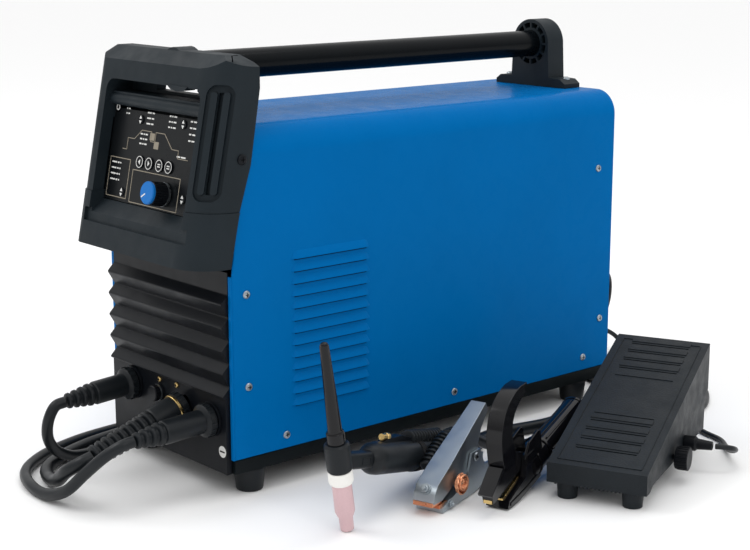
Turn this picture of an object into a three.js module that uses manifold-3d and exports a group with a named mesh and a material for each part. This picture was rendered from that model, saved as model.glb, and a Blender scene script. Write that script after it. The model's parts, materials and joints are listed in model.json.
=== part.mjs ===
// A portable inverter TIG welding machine with its torch, earth clamp, electrode holder and foot pedal,
// all plugged in. Millimetres, +Z up. The machine's front faces -Y and its right side faces +X.
import * as THREE from 'three';
import { mergeVertices } from 'three/addons/utils/BufferGeometryUtils.js';
import Module from 'manifold-3d';

const wasm = await Module();
wasm.setup();

// ---- Driving dimensions -------------------------------------------------------------------------
const GAP = 0.3; // clearance between pieces that touch
const SHEET = 2; // cover and tray thickness
const COVER_HALF = 110; // half width of the painted cover
const COVER_FRONT = -280;
const COVER_REAR = 280;
const COVER_TOP = 374;
const COVER_BOTTOM = 40;
const FOLD_RADIUS = 28; // long edges of the cover
const TRAY_BOTTOM = 25;
const TRAY_TOP = 60;
const PANEL_FACE = -287; // front of the lower front panel
const PANEL_HALF = 105;
const RIBS = { count: 5, low: 105.5, pitch: 23.7 }; // ribs across the lower front panel
const BEZEL_LEFT = -117;
const BEZEL_RIGHT = 113;
const BEZEL_BOTTOM = 238;
const BEZEL_SPLIT = 293;
const BEZEL_TOP = 443;
const LEAN = 0.203; // how far the bezel's face leans back for each millimetre of height
const LEAN_ANGLE = Math.atan(LEAN);
const FACE_FOOT = -323; // the bezel's face at its bottom edge
const WINDOW = { left: -94, right: 76, bottom: 284, top: 410 }; // opening in the bezel's face
const PANEL_DEPTH = 15; // the control panel's face behind the bezel's face
const HANDLE_Z = 425;
const HANDLE_RADIUS = 15.5;
const HANDLE_HALF = 255;
const FOOT_X = 92;
const FOOT_FRONT_Y = -250;
const FOOT_REAR_Y = 237;
const LOUVRE_COUNT = 13;
const LOUVRE_PITCH = 12.8;
const LOUVRE_LOW = 84;
const LOUVRE_Y = -155;
const LOUVRE_LENGTH = 104;
const SOCKET_Z = 84;
const EARTH_X = 80;
const ELECTRODE_X = -64;
const TORCH_X = 33;
const LEAD_DIAMETER = 12;
const TORCH_LEAD_DIAMETER = 14;
const PEDAL_LEAD_DIAMETER = 6;
const TORCH = { x: 248, y: -249, lift: 1.4, heading: 0.3, tilt: 0.195, handleDrop: 0.43 };
const CLAMP = { x: 262, y: -155, heading: 0.3 };
const HOLDER = { x: 302, y: -101, heading: 0.35 };
const PEDAL = {
  x: 311, y: -40, heading: 0.42, width: 104, length: 240, low: 38, high: 115, base: 19,
  knobY: 107, knobZ: 25, glandY: 150, sideZ: 28,
};

const machine = new THREE.Group();
const names = new Set();

// ---- Shape helpers ------------------------------------------------------------------------------
const moved = (geometry, x, y, z) => geometry.translate(x, y, z);
const box = (w, d, h, x = 0, y = 0, z = 0) => moved(new THREE.BoxGeometry(w, d, h), x, y, z);

function outline(points) {
  return new THREE.Shape(points.map(([a, b]) => new THREE.Vector2(a, b)));
}

// An outline in X and Y, raised from low to high.
function upright(shape, low, high, curveSegments = 8) {
  const settings = { depth: high - low, bevelEnabled: false, curveSegments };
  return moved(new THREE.ExtrudeGeometry(shape, settings), 0, 0, low);
}

// An outline in X and Z, running along Y from front to rear.
function lengthwise(shape, front, rear, curveSegments = 8) {
  const geometry = upright(shape, -rear, -front, curveSegments);
  return geometry.rotateX(Math.PI / 2);
}

// An outline in Y and Z, running along X from left to right.
function crosswise(shape, left, right, curveSegments = 8) {
  const geometry = upright(shape, left, right, curveSegments);
  return geometry.rotateY(Math.PI / 2).rotateX(Math.PI / 2);
}

// A profile of [radius, height] turned about Z.
function turned(profile, segments = 24) {
  const points = profile.map(([r, h]) => new THREE.Vector2(r, h));
  return new THREE.LatheGeometry(points, segments).rotateX(Math.PI / 2);
}

const rod = (radius, low, high, segments = 24) =>
  turned([[0, low], [radius, low], [radius, high], [0, high]], segments);
const rodY = (radius, front, rear, segments = 24) =>
  rod(radius, -rear, -front, segments).rotateX(Math.PI / 2);
const rodX = (radius, left, right, segments = 24) =>
  rod(radius, left, right, segments).rotateY(Math.PI / 2);

function roundedRectangle(w, h, r, x = 0, y = 0) {
  const shape = new THREE.Shape();
  shape.moveTo(x - w / 2 + r, y - h / 2);
  shape.lineTo(x + w / 2 - r, y - h / 2);
  shape.absarc(x + w / 2 - r, y - h / 2 + r, r, -Math.PI / 2, 0);
  shape.absarc(x + w / 2 - r, y + h / 2 - r, r, 0, Math.PI / 2);
  shape.absarc(x - w / 2 + r, y + h / 2 - r, r, Math.PI / 2, Math.PI);
  shape.absarc(x - w / 2 + r, y - h / 2 + r, r, Math.PI, 1.5 * Math.PI);
  return shape;
}

function toSolid(geometry) {
  const bare = geometry.index ? geometry.toNonIndexed() : geometry.clone();
  bare.deleteAttribute('normal');
  bare.deleteAttribute('uv');
  const merged = mergeVertices(bare, 1e-4);
  return new wasm.Manifold(new wasm.Mesh({
    numProp: 3,
    vertProperties: new Float32Array(merged.attributes.position.array),
    triVerts: new Uint32Array(merged.index.array),
  }));
}

function fromSolid(solid) {
  const mesh = solid.getMesh();
  const geometry = new THREE.BufferGeometry();
  geometry.setAttribute('position', new THREE.BufferAttribute(mesh.vertProperties, 3));
  geometry.setIndex(new THREE.BufferAttribute(mesh.triVerts, 1));
  return geometry;
}

const cut = (geometry, ...tools) =>
  fromSolid(tools.reduce((solid, tool) => solid.subtract(toSolid(tool)), toSolid(geometry)));
const join = (geometry, ...others) =>
  fromSolid(others.reduce((solid, other) => solid.add(toSolid(other)), toSolid(geometry)));
const common = (a, b) => fromSolid(toSolid(a).intersect(toSolid(b)));

function add(parent, name, geometry, color, roughness = 0.6, metalness = 0) {
  if (names.has(name)) throw new Error(`two meshes are called ${name}`);
  names.add(name);
  const plain = geometry.clone();
  plain.computeVertexNormals();
  const material = new THREE.MeshStandardMaterial({ color, roughness, metalness });
  const mesh = new THREE.Mesh(plain, material);
  mesh.name = name;
  parent.add(mesh);
  return mesh;
}

function group(parent, x, y, z, rotation = [0, 0, 0]) {
  const made = new THREE.Group();
  made.position.set(x, y, z);
  made.rotation.set(...rotation);
  parent.add(made);
  return made;
}

const BLUE = 0x0060a0;
const CHARCOAL = 0x33383c;
const BLACK = 0x15171a;
const RUBBER = 0x1b1c1e;
const ZINC = 0xb8bcc0;
const BRASS = 0xb09050;

// ---- Cover and tray -----------------------------------------------------------------------------
function coverOutline(inset) {
  const half = COVER_HALF - inset;
  const top = COVER_TOP - inset;
  const r = FOLD_RADIUS - inset;
  const shape = new THREE.Shape();
  shape.moveTo(-half, COVER_BOTTOM - 20 * Math.sign(inset));
  shape.lineTo(half, COVER_BOTTOM - 20 * Math.sign(inset));
  shape.lineTo(half, top - r);
  shape.absarc(half - r, top - r, r, 0, Math.PI / 2);
  shape.absarc(-half + r, top - r, r, Math.PI / 2, Math.PI);
  return shape;
}

// The cover's front edge: upright below, then slanting back under the bezel.
const FRONT_EDGE = [[COVER_FRONT, 0], [COVER_FRONT, 229], [-272, 289], [-256.6, 338], [-244, 412]];

function louvreSlots(side) {
  const slots = [];
  for (let i = 0; i < LOUVRE_COUNT; i += 1) {
    const z = LOUVRE_LOW + i * LOUVRE_PITCH;
    slots.push(box(12, LOUVRE_LENGTH - 12, 3, side * COVER_HALF, LOUVRE_Y, z));
  }
  return slots;
}

function louvreHoods(side) {
  const x = side * (COVER_HALF - 0.6);
  const tip = side * (COVER_HALF + 3.2);
  const hoods = [];
  for (let i = 0; i < LOUVRE_COUNT; i += 1) {
    const z = LOUVRE_LOW + i * LOUVRE_PITCH;
    const wedge = outline([[x, z + 1.4], [tip, z - 0.6], [tip, z + 1.2], [x, z + 7.5]]);
    hoods.push(lengthwise(wedge, LOUVRE_Y - LOUVRE_LENGTH / 2, LOUVRE_Y + LOUVRE_LENGTH / 2));
  }
  return hoods;
}

function makeCover() {
  const shell = cut(
    lengthwise(coverOutline(0), -300, COVER_REAR),
    lengthwise(coverOutline(SHEET), -320, 320),
  );
  const ahead = [...FRONT_EDGE, [-244, 500], [-400, 500], [-400, 0]];
  const trimmed = cut(shell, crosswise(outline(ahead), -200, 200));
  const holes = [-1, 1].map((x) => rod(2.2, 360, 390, 12).translate(x * 47, 262, 0));
  const pierced = cut(trimmed, ...louvreSlots(1), ...louvreSlots(-1), ...holes);
  const flanges = [-1, 1].flatMap((side) => [
    box(4.7, 2, 189, side * 107.65, COVER_FRONT - 1, 134.5),
    box(1.6, 2.4, 187, side * 109, COVER_FRONT - 0.4, 134.5),
  ]);
  const cover = join(pierced, ...louvreHoods(1), ...louvreHoods(-1), ...flanges);
  add(machine, 'top_cover', cover, BLUE, 0.25, 0.1);
}

function makeTray() {
  const width = 2 * (COVER_HALF - SHEET - GAP);
  const outer = box(width, 560, TRAY_TOP - TRAY_BOTTOM, 0, 0, (TRAY_TOP + TRAY_BOTTOM) / 2);
  const hollow = box(width - 2 * SHEET, 556, 60, 0, 0, TRAY_BOTTOM + SHEET + 30);
  const skirt = box(2 * COVER_HALF, 560, 14.5, 0, 0, TRAY_BOTTOM + 7.25);
  const tray = cut(join(outer, skirt), hollow);
  add(machine, 'base_tray', tray, BLACK, 0.5, 0.2);
}

function makeFeet() {
  const profile = [[0, 0], [14, 0], [16.5, 21], [16.5, TRAY_BOTTOM - GAP], [0, TRAY_BOTTOM - GAP]];
  const places = {
    foot_front_right: [FOOT_X, FOOT_FRONT_Y],
    foot_front_left: [-FOOT_X, FOOT_FRONT_Y],
    foot_rear_right: [FOOT_X, FOOT_REAR_Y],
    foot_rear_left: [-FOOT_X, FOOT_REAR_Y],
  };
  for (const [name, [x, y]] of Object.entries(places)) {
    const spot = group(machine, x, y, 0);
    add(spot, name, turned(profile, 20), RUBBER, 0.8);
  }
}

// ---- Front: lower panel, bezel, control panel ---------------------------------------------------
// The panel's upper part is drawn out into ribs that overhang to the front like closed louvres.
function makeFrontPanel() {
  const back = PANEL_FACE + 6.5;
  const section = [[back, TRAY_BOTTOM], [PANEL_FACE, TRAY_BOTTOM], [PANEL_FACE, RIBS.low - 1]];
  for (let i = 0; i < RIBS.count; i += 1) {
    const nose = RIBS.low + i * RIBS.pitch;
    section.push([PANEL_FACE - 3, nose], [PANEL_FACE - 3.2, nose + 1.6], [PANEL_FACE - 2, nose + 3.2],
      [PANEL_FACE + 4.2, nose + 9.4], [PANEL_FACE + 4.6, nose + 11]);
  }
  section.push([PANEL_FACE + 4.6, 233], [back, 233]);
  const plate = crosswise(outline(section), -PANEL_HALF, PANEL_HALF);
  const bores = [
    rodY(15.3, -310, -270).translate(EARTH_X, 0, SOCKET_Z - 5),
    rodY(15.3, -310, -270).translate(ELECTRODE_X, 0, SOCKET_Z + 2),
    rodY(9, -310, -270).translate(TORCH_X, 0, SOCKET_Z),
    rodY(7.3, -310, -270).translate(-14, 0, SOCKET_Z + 2),
  ];
  add(machine, 'front_panel', cut(plate, ...bores), BLACK, 0.55);
}

// The bezel's plan outline about its leaning face line, which is y = 0 here. Its left corner is tight and
// its right corner is broad enough for a hand.
function bezelPlan(inset) {
  const left = BEZEL_LEFT + inset;
  const right = BEZEL_RIGHT - inset;
  const shape = new THREE.Shape();
  shape.moveTo(left, 120);
  shape.lineTo(left, 16);
  shape.quadraticCurveTo(left + 1, 1 + inset, left + 16, inset);
  shape.lineTo(right - 44, inset);
  shape.quadraticCurveTo(right - 2, 3 + inset, right, 40);
  shape.lineTo(right, 120);
  return shape;
}

// A plan outline raised between two heights and sheared back with the face's lean.
function leaning(shape, low, high) {
  const shear = new THREE.Matrix4().set(
    1, 0, 0, 0,
    0, 1, LEAN, FACE_FOOT - LEAN * BEZEL_BOTTOM,
    0, 0, 1, 0,
    0, 0, 0, 1,
  );
  return upright(shape, low, high, 7).applyMatrix4(shear);
}

const rearLimit = (left, right) => crosswise(outline([
  [-285, 0], [-285, 231], [-272.6, 289], [-257, 338], [-244.4, 412], [-244.4, 436],
  [-250, BEZEL_TOP], [-420, BEZEL_TOP], [-420, 0],
]), left, right);

const faceLine = (z) => FACE_FOOT + LEAN * (z - BEZEL_BOTTOM);

// The grip in the bezel's right corner, with X across it, Y up it and Z out of it.
const GRIP = { x: 97, depth: 8, low: 303, high: 417, turn: 0.61 };

function atGrip(geometry) {
  const middle = (GRIP.low + GRIP.high) / 2;
  const across = new THREE.Vector3(Math.cos(GRIP.turn), Math.sin(GRIP.turn), 0);
  const up = new THREE.Vector3(0, LEAN, 1).normalize();
  const out = new THREE.Vector3().crossVectors(across, up).normalize();
  const place = new THREE.Matrix4().makeBasis(across, up, out);
  place.setPosition(GRIP.x, faceLine(middle) + GRIP.depth, middle);
  return geometry.applyMatrix4(place);
}

function gripTools() {
  const tall = GRIP.high - GRIP.low;
  const recess = upright(roundedRectangle(30, tall, 11), -6, 30, 4);
  const slot = upright(roundedRectangle(5, tall - 14, 1), -11, 30, 1);
  const ribs = [-1, 1].map((side) => upright(roundedRectangle(7, tall - 14, 3), -8, -2.6, 3)
    .translate(side * 6.6, 0, 0));
  return { recess: atGrip(cut(recess, ...ribs)), slot: atGrip(slot) };
}

function makeBezelUpper() {
  const low = BEZEL_SPLIT + GAP / 2;
  const body = common(leaning(bezelPlan(0), low, BEZEL_TOP), rearLimit(-120, 120));
  const topSlope = crosswise(outline([
    [-420, 319.5], [-284, 430], [-268, BEZEL_TOP], [-268, 500], [-420, 500],
  ]), -120, 120);
  const corners = [
    lengthwise(outline([[-130, 418], [-104, 444], [-130, 444]]), -400, -200),
    lengthwise(outline([[86, 444], [116, 431], [130, 444]]), -400, -200),
  ];
  const cavity = leaning(bezelPlan(13), low - 5, COVER_TOP - 6);
  const width = WINDOW.right - WINDOW.left;
  const height = WINDOW.top - WINDOW.bottom + 40;
  const middle = (WINDOW.left + WINDOW.right) / 2;
  const opening = roundedRectangle(width, height, 12, middle, WINDOW.top - height / 2);
  const depth = leaning(outline([[-150, -30], [150, -30], [150, 32], [-150, 32]]), low - 20, BEZEL_TOP);
  const window = common(lengthwise(opening, -420, -200, 5), depth);
  const gap = box(118, 200, 11, 11, -260, WINDOW.top - 5.5);
  const grip = gripTools();
  const socket = rodY(HANDLE_RADIUS + GAP, -257, -200).translate(0, 0, HANDLE_Z);
  const boss = rodY(21, -268, -246).translate(0, 0, HANDLE_Z);
  const ridge = rodX(6.5, WINDOW.left - 2, WINDOW.right + 2, 16).translate(0, -280, 388);
  const sill = box(174, 38, 6, -9, -263, 393);
  const bump = lengthwise(outline([[18, 411], [24, 407], [36, 405.4], [48, 407], [54, 411]]), -289, -276);
  const shell = cut(body, topSlope, ...corners, cavity, window, gap, grip.recess, grip.slot);
  const filled = join(shell, common(boss, box(60, 60, 46, 0, -256, HANDLE_Z + 4)), ridge, sill);
  add(machine, 'bezel_upper', join(cut(filled, socket, gap), bump), CHARCOAL, 0.6);
}

function makeBezelLower() {
  const high = BEZEL_SPLIT - GAP / 2;
  const body = common(leaning(bezelPlan(-1), BEZEL_BOTTOM, high), rearLimit(-120, 120));
  const cavity = leaning(bezelPlan(8), BEZEL_BOTTOM + 6, 262);
  const pocket = leaning(outline([
    [WINDOW.left, PANEL_DEPTH - 1], [WINDOW.right, PANEL_DEPTH - 1], [WINDOW.right, 120], [WINDOW.left, 120],
  ]), WINDOW.bottom - 0.6, 320);
  const inner = WINDOW.bottom - 0.6;
  const slope = crosswise(outline([
    [-420, 269], [faceLine(269), 269], [faceLine(inner) + PANEL_DEPTH, inner],
    [faceLine(320) + PANEL_DEPTH, 320], [-420, 320],
  ]), WINDOW.left, WINDOW.right);
  const seat = crosswise(outline([
    [-420, 262], [faceLine(262) + 2.4, 262], [faceLine(276) + 2.4, 276], [-420, 276],
  ]), WINDOW.left - 8, WINDOW.right + 8);
  add(machine, 'bezel_lower', cut(body, cavity, pocket, slope, seat), CHARCOAL, 0.6);
}

// Buttons on the control panel: x and height of each, and its radius.
const ROUND_BUTTONS = { button_left: -33, button_right: -16, button_mode: 3, button_save: 20 };
const ARROW_BUTTONS = {
  select_process: [-42, 370], select_output: [35, 372], select_trigger: [-60, 294], select_spot: [51, 300],
};
const KNOB = { x: 19.5, z: 301, radius: 12.4, length: 23 };
const ROUND_Z = 328;
const onPanel = (z) => (z - 300) / Math.cos(LEAN_ANGLE);

function buttonPiece(radius, proud) {
  return turned([[0, -3], [radius + 1.2, -3], [radius + 1.2, -0.6], [radius, -0.6],
    [radius, proud], [0, proud]], 14).rotateX(Math.PI / 2);
}

function makeControlPanel() {
  const y = faceLine(300) + PANEL_DEPTH;
  const leaningGroup = group(machine, 0, y, 300, [-LEAN_ANGLE, 0, 0]);
  const holes = [];
  const buttons = [];
  for (const [name, x] of Object.entries(ROUND_BUTTONS)) buttons.push([name, x, ROUND_Z, 6.6, 1.6]);
  for (const [name, [x, z]] of Object.entries(ARROW_BUTTONS)) buttons.push([name, x, z, 4.6, 1.2]);
  for (const [name, x, z, radius, proud] of buttons) {
    holes.push(rodY(radius + GAP, -5, 1.2, 14).translate(x, 0, onPanel(z)));
    holes.push(rodY(radius + 2, 0.3, 5, 14).translate(x, 0, onPanel(z)));
    const spot = group(leaningGroup, x, 0, onPanel(z));
    add(spot, name, buttonPiece(radius, proud), BLACK, 0.5);
  }
  holes.push(rodY(3.4, -5, 5, 16).translate(KNOB.x, 0, onPanel(KNOB.z)));
  const plate = box(WINDOW.right - WINDOW.left - 2 * GAP, 4, 96, (WINDOW.right + WINDOW.left) / 2, 2, 32);
  add(leaningGroup, 'control_panel', cut(plate, ...holes), 0x101214, 0.4);
  const cap = rodY(KNOB.radius, -KNOB.length, -1.5, 28);
  const shaft = rodY(3, -3, 12, 16);
  const spot = group(leaningGroup, KNOB.x, 0, onPanel(KNOB.z));
  add(spot, 'encoder_knob', join(cap, shaft), 0x1f6fb5, 0.4);
}

// ---- Handle -------------------------------------------------------------------------------------
function makeHandle() {
  const tube = turned([
    [HANDLE_RADIUS - 2, -HANDLE_HALF], [HANDLE_RADIUS, -HANDLE_HALF],
    [HANDLE_RADIUS, HANDLE_HALF], [HANDLE_RADIUS - 2, HANDLE_HALF],
    [HANDLE_RADIUS - 2, -HANDLE_HALF],
  ], 28).rotateX(Math.PI / 2);
  const spot = group(machine, 0, 0, HANDLE_Z);
  add(spot, 'handle_tube', tube, BLACK, 0.3, 0.1);

  const arch = new THREE.Shape();
  const foot = COVER_TOP + GAP;
  arch.moveTo(-57, foot);
  arch.lineTo(57, foot);
  arch.lineTo(57, foot + 5);
  arch.lineTo(50, foot + 10);
  arch.lineTo(31, foot + 11);
  arch.lineTo(29, HANDLE_Z);
  arch.absarc(0, HANDLE_Z, 29, 0, Math.PI);
  arch.lineTo(-31, foot + 11);
  arch.lineTo(-50, foot + 10);
  arch.lineTo(-57, foot + 5);
  const block = lengthwise(arch, 248, 275, 12);
  const bore = rodY(HANDLE_RADIUS + GAP, 200, HANDLE_HALF + 0.5).translate(0, 0, HANDLE_Z);
  const pocket = cut(rodY(25, 240, 262).translate(0, 0, HANDLE_Z),
    rodY(HANDLE_RADIUS + 3.5, 230, 270).translate(0, 0, HANDLE_Z));
  const ribs = [0, 1, 2, 3, 4, 5].map((i) => box(54, 20, 2.4)
    .rotateY(i * Math.PI / 6).translate(0, 256, HANDLE_Z));
  const ribbed = cut(pocket, ...ribs);
  add(machine, 'handle_bracket_rear', cut(block, bore, ribbed), BLACK, 0.6);
}

// ---- Rear and inside ----------------------------------------------------------------------------
const FAN = { x: -25, z: 235, radius: 56 };

function makeRear() {
  const shape = coverOutline(SHEET + GAP);
  const plate = common(lengthwise(shape, COVER_REAR - 9, COVER_REAR - 3),
    box(400, 100, 320, 0, 270, TRAY_TOP + GAP + 160));
  const vent = rodY(FAN.radius, 250, 300, 36).translate(FAN.x, 0, FAN.z);
  const rocker = box(22.6, 40, 30.6, 78, 275, 320);
  const bores = [
    rodY(9.3, 250, 300).translate(60, 0, 105),
    rodY(6.3, 250, 300).translate(-70, 0, 105),
    rodY(8.3, 250, 300).translate(84, 0, 150),
  ];
  add(machine, 'rear_panel', cut(plate, vent, rocker, ...bores), BLACK, 0.5, 0.2);

  const gland = turned([[0, -14], [9, -14], [9, 6.8], [14, 6.8], [14, 14], [10, 16], [9, 26], [0, 26]], 20)
    .rotateX(-Math.PI / 2);
  const glandSpot = group(machine, 60, COVER_REAR - 9, 105);
  add(glandSpot, 'mains_gland', gland, BLACK, 0.6);
  const barb = turned([[0, -12], [6, -12], [6, 6.8], [10, 6.8], [10, 12], [5, 12], [5, 30], [3.6, 32],
    [0, 32]], 20).rotateX(-Math.PI / 2);
  const barbSpot = group(machine, -70, COVER_REAR - 9, 105);
  add(barbSpot, 'gas_inlet', barb, BRASS, 0.35, 1);
  const rockerSide = [[-9, -13.9], [5, -13.9], [10, -12.6], [6.6, 0], [5, 13.9], [-9, 13.9]];
  const rockerBody = crosswise(outline(rockerSide), -11, 11);
  const rockerSpot = group(machine, 78, COVER_REAR - 6, 320);
  add(rockerSpot, 'mains_rocker', rockerBody, 0x8a1512, 0.4);

  const frame = cut(box(126, 25, 126), rodY(FAN.radius + 1, -20, 20, 36));
  const spider = join(rodY(17, 8, 12.5, 20), box(118, 3, 5, 0, 11, 0), box(5, 3, 118, 0, 11, 0));
  const fanSpot = group(machine, FAN.x, COVER_REAR - 9 - GAP - 12.5, FAN.z);
  add(fanSpot, 'fan_frame', join(frame, spider), BLACK, 0.6);
  const blades = [];
  for (let i = 0; i < 7; i += 1) {
    const blade = box(40, 2, 17).rotateX(0.6).translate(32, 0, 0);
    blades.push(blade.rotateY(i * 2 * Math.PI / 7));
  }
  const hub = rodY(18, -10, 7, 24);
  const sweep = rodY(FAN.radius - 2, -11, 7.4, 30);
  add(fanSpot, 'fan_rotor', common(join(hub, ...blades), sweep), 0x2a2d30, 0.5);
}

function makeInside() {
  const floor = TRAY_BOTTOM + SHEET + GAP;
  const fins = [];
  for (let i = 0; i < 12; i += 1) fins.push(box(2.4, 190, 50, (i - 5.5) * 12, -60, floor + 33));
  add(machine, 'heatsink', join(box(140, 190, 8.2, 0, -60, floor + 4.1), ...fins), 0x9a9da0, 0.4, 0.9);
  const board = box(150, 300, 2, 0, -30, 200);
  const blocks = [
    box(30, 30, 42, -40, -120, 220), box(30, 30, 42, 5, -120, 220), box(30, 30, 42, 50, -120, 220),
    box(60, 40, 24, 20, 30, 211), box(24, 90, 34, -55, 20, 216),
  ];
  const legs = [[-60, -140], [60, -140], [-60, 20], [60, 20]]
    .map(([x, y]) => box(8, 8, 115, x, y, 142.5));
  add(machine, 'main_board', join(board, ...blocks, ...legs), 0x1c4a2c, 0.6);
  const core = cut(box(80, 50, 80, 0, 120, floor + 44), box(40, 80, 44, 0, 120, floor + 44));
  const coilRing = cut(upright(roundedRectangle(60, 62, 12, 0, 0), 0, 40, 4), box(41, 51, 80));
  const winding = coilRing.translate(0, 120, floor + 24);
  const limb = box(16, 46, 46, 0, 120, floor + 44);
  const pad = box(52, 56, 4, 0, 120, floor + 2);
  add(machine, 'transformer', join(core, limb, pad, winding), 0x6d5238, 0.6, 0.2);
  add(machine, 'gas_valve', join(box(30, 44, 30, -70, 210, floor + 20),
    box(44, 60, 5, -70, 210, floor + 2.5), rod(10, floor + 30, floor + 62, 16).translate(-70, 210, 0)),
  BRASS, 0.4, 0.8);
}

// ---- Front sockets and the plugs in them --------------------------------------------------------
// Lathe pieces here are turned about their own axis, then laid along -Y with the given droop.
function pointForward(geometry, droop) {
  return geometry.rotateX(Math.PI / 2 + droop);
}

function makeSocket(name, x, z, radius, color, metal) {
  const profile = [[0, -16], [radius, -16], [radius, 7.3], [radius + 3, 7.3], [radius + 3, 10], [0, 10]];
  const spot = group(machine, x, PANEL_FACE + 7, z);
  add(spot, name, turned(profile, 16).rotateX(Math.PI / 2), color, 0.5, metal);
}

const RING_STEP = 8; // one rib of a plug's bend relief

function plugSolid(sleeve, rings, wide, narrow, collar) {
  const end = sleeve + rings * RING_STEP;
  return turned([[0, 0], [collar, 0], [collar, 9], [wide + 0.6, 11], [wide + 0.6, sleeve],
    [wide, sleeve + 1], [narrow, end], [0, end]], 16);
}

const PLUG_START = PANEL_FACE - 3 - GAP;
const PLUGS = {
  earth_plug: {
    x: EARTH_X, z: SOCKET_Z - 5, droop: 0.05, sleeve: 56, rings: 4, wide: 12, narrow: 8.4, collar: 17,
  },
  electrode_plug: {
    x: ELECTRODE_X, z: SOCKET_Z + 2, droop: 0.07, sleeve: 48, rings: 4, wide: 12, narrow: 8.4, collar: 17,
  },
  torch_plug: {
    x: TORCH_X, z: SOCKET_Z, droop: 0.3, sleeve: 40, rings: 9, wide: 14, narrow: 10.5, collar: 15,
  },
};

function makeFrontPlugs() {
  makeSocket('earth_socket', EARTH_X, SOCKET_Z - 5, 15, BLACK, 0);
  makeSocket('electrode_socket', ELECTRODE_X, SOCKET_Z + 2, 15, BLACK, 0);
  for (const [name, p] of Object.entries(PLUGS)) {
    const spot = group(machine, p.x, PLUG_START, p.z);
    const solid = pointForward(plugSolid(p.sleeve, p.rings, p.wide, p.narrow, p.collar), p.droop);
    const front = box(60, 200, 80, 0, -100, 0);
    add(spot, name, common(solid, front), RUBBER, 0.7);
  }
}

// ---- Torch --------------------------------------------------------------------------------------
// The torch stands on its nozzle. Its group's +Z runs up the head, and its handle drops away towards +Y.
function makeTorch() {
  const heading = group(machine, TORCH.x, TORCH.y, TORCH.lift, [0, 0, TORCH.heading]);
  const spot = group(heading, 0, 0, 0, [TORCH.tilt, 0, 0]);
  const cup = turned([[4.2, 0], [6.6, 0], [7, 13], [9.8, 20], [9.6, 50], [8, 50], [7.6, 20], [4.2, 14],
    [4.2, 0]], 20);
  add(spot, 'gas_nozzle', cup, 0xd8a8b0, 0.7);
  const ring = turned([[0, 50.3], [11, 50.3], [12.2, 53], [11.8, 64], [0, 64]], 20);
  add(spot, 'insulator_ring', ring, 0xe8e4dc, 0.6);
  const head = turned([[0, 64.3], [12.2, 64.3], [12.4, 88], [11, 93], [0, 93]], 20);
  const along = (piece) => piece.rotateX(-TORCH.handleDrop).translate(0, 0, 73);
  const neck = along(upright(roundedRectangle(18, 17, 5), 0, 40, 3).rotateX(-Math.PI / 2));
  const profile = [[0, 38], [12, 39], [16.4, 50], [16.4, 168], [13, 215], [0, 215]];
  const grip = along(turned(profile, 18).rotateX(-Math.PI / 2));
  const slot = along(box(10, 64, 8, 0, 100, 14));
  add(spot, 'torch_body', cut(join(head, neck, grip), slot, rod(12.6, 0, 64.3, 20)), RUBBER, 0.75);
  const cap = turned([[0, 93.3], [9, 93.3], [9, 104], [7, 107], [4.6, 193], [3, 196], [0, 197]], 18);
  add(spot, 'back_cap', cap, 0x08090a, 0.15);
  const lever = crosswise(outline([
    [-26, 0], [26, 0], [28, 3], [26, 6], [6, 9], [-20, 6], [-28, 3],
  ]), -4.5, 4.5);
  add(spot, 'torch_trigger', along(lever.translate(0, 100, 13)), BLACK, 0.5);
}

// ---- Earth clamp --------------------------------------------------------------------------------
// Its group's +Y runs from the jaw tips to the handles.
const CLAMP_PIVOT = { y: 72, z: 38 };

function plateY(points, halfWidth) {
  return crosswise(outline(points), -halfWidth, halfWidth);
}

// A lever's side outline given a width that narrows from its jaw to its handle.
function leverPlate(points, half) {
  const narrow = half - 5.4;
  const plan = [[-half, -30], [half, -30], [half, 20], [narrow, 142], [narrow, 160],
    [-narrow, 160], [-narrow, 142], [-half, 20]];
  return common(plateY(points, half), upright(outline(plan), -5, 130));
}

function makeClamp() {
  const spot = group(machine, CLAMP.x, CLAMP.y, 0, [0, 0, CLAMP.heading]);
  const bottom = leverPlate([[0, 0.4], [70, 0.4], [124, 12], [126, 24], [92, 24], [82, 44], [62, 44],
    [52, 18], [8, 8.4], [0, 5]], 15);
  const hollow = leverPlate([[12, 2.4], [70, 2.4], [130, 15.4], [130, 60], [44, 60], [44, 12],
    [12, 6]], 12.6);
  const pin = rodX(3, -12.2, 12.2, 14).translate(0, CLAMP_PIVOT.y, CLAMP_PIVOT.z);
  add(spot, 'clamp_lower', join(cut(bottom, hollow), pin), ZINC, 0.3, 0.9);
  const upper = leverPlate([[-12, 12], [4, 11.4], [36, 24], [66, 31], [78, 30], [84, 38], [82, 48],
    [90, 64], [105, 79], [99, 87.4], [-4, 30], [-11, 20]], 12);
  const pocket = leverPlate([[10, 19], [36, 20], [112, 20], [112, 91.7], [9, 34.3]], 10);
  const eye = rodX(3.3, -20, 20, 14).translate(0, CLAMP_PIVOT.y, CLAMP_PIVOT.z);
  add(spot, 'clamp_upper', cut(upper, pocket, eye), ZINC, 0.3, 0.9);
}

// ---- Electrode holder ---------------------------------------------------------------------------
const HOLDER_PIVOT = { y: 52, z: 37 };

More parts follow.
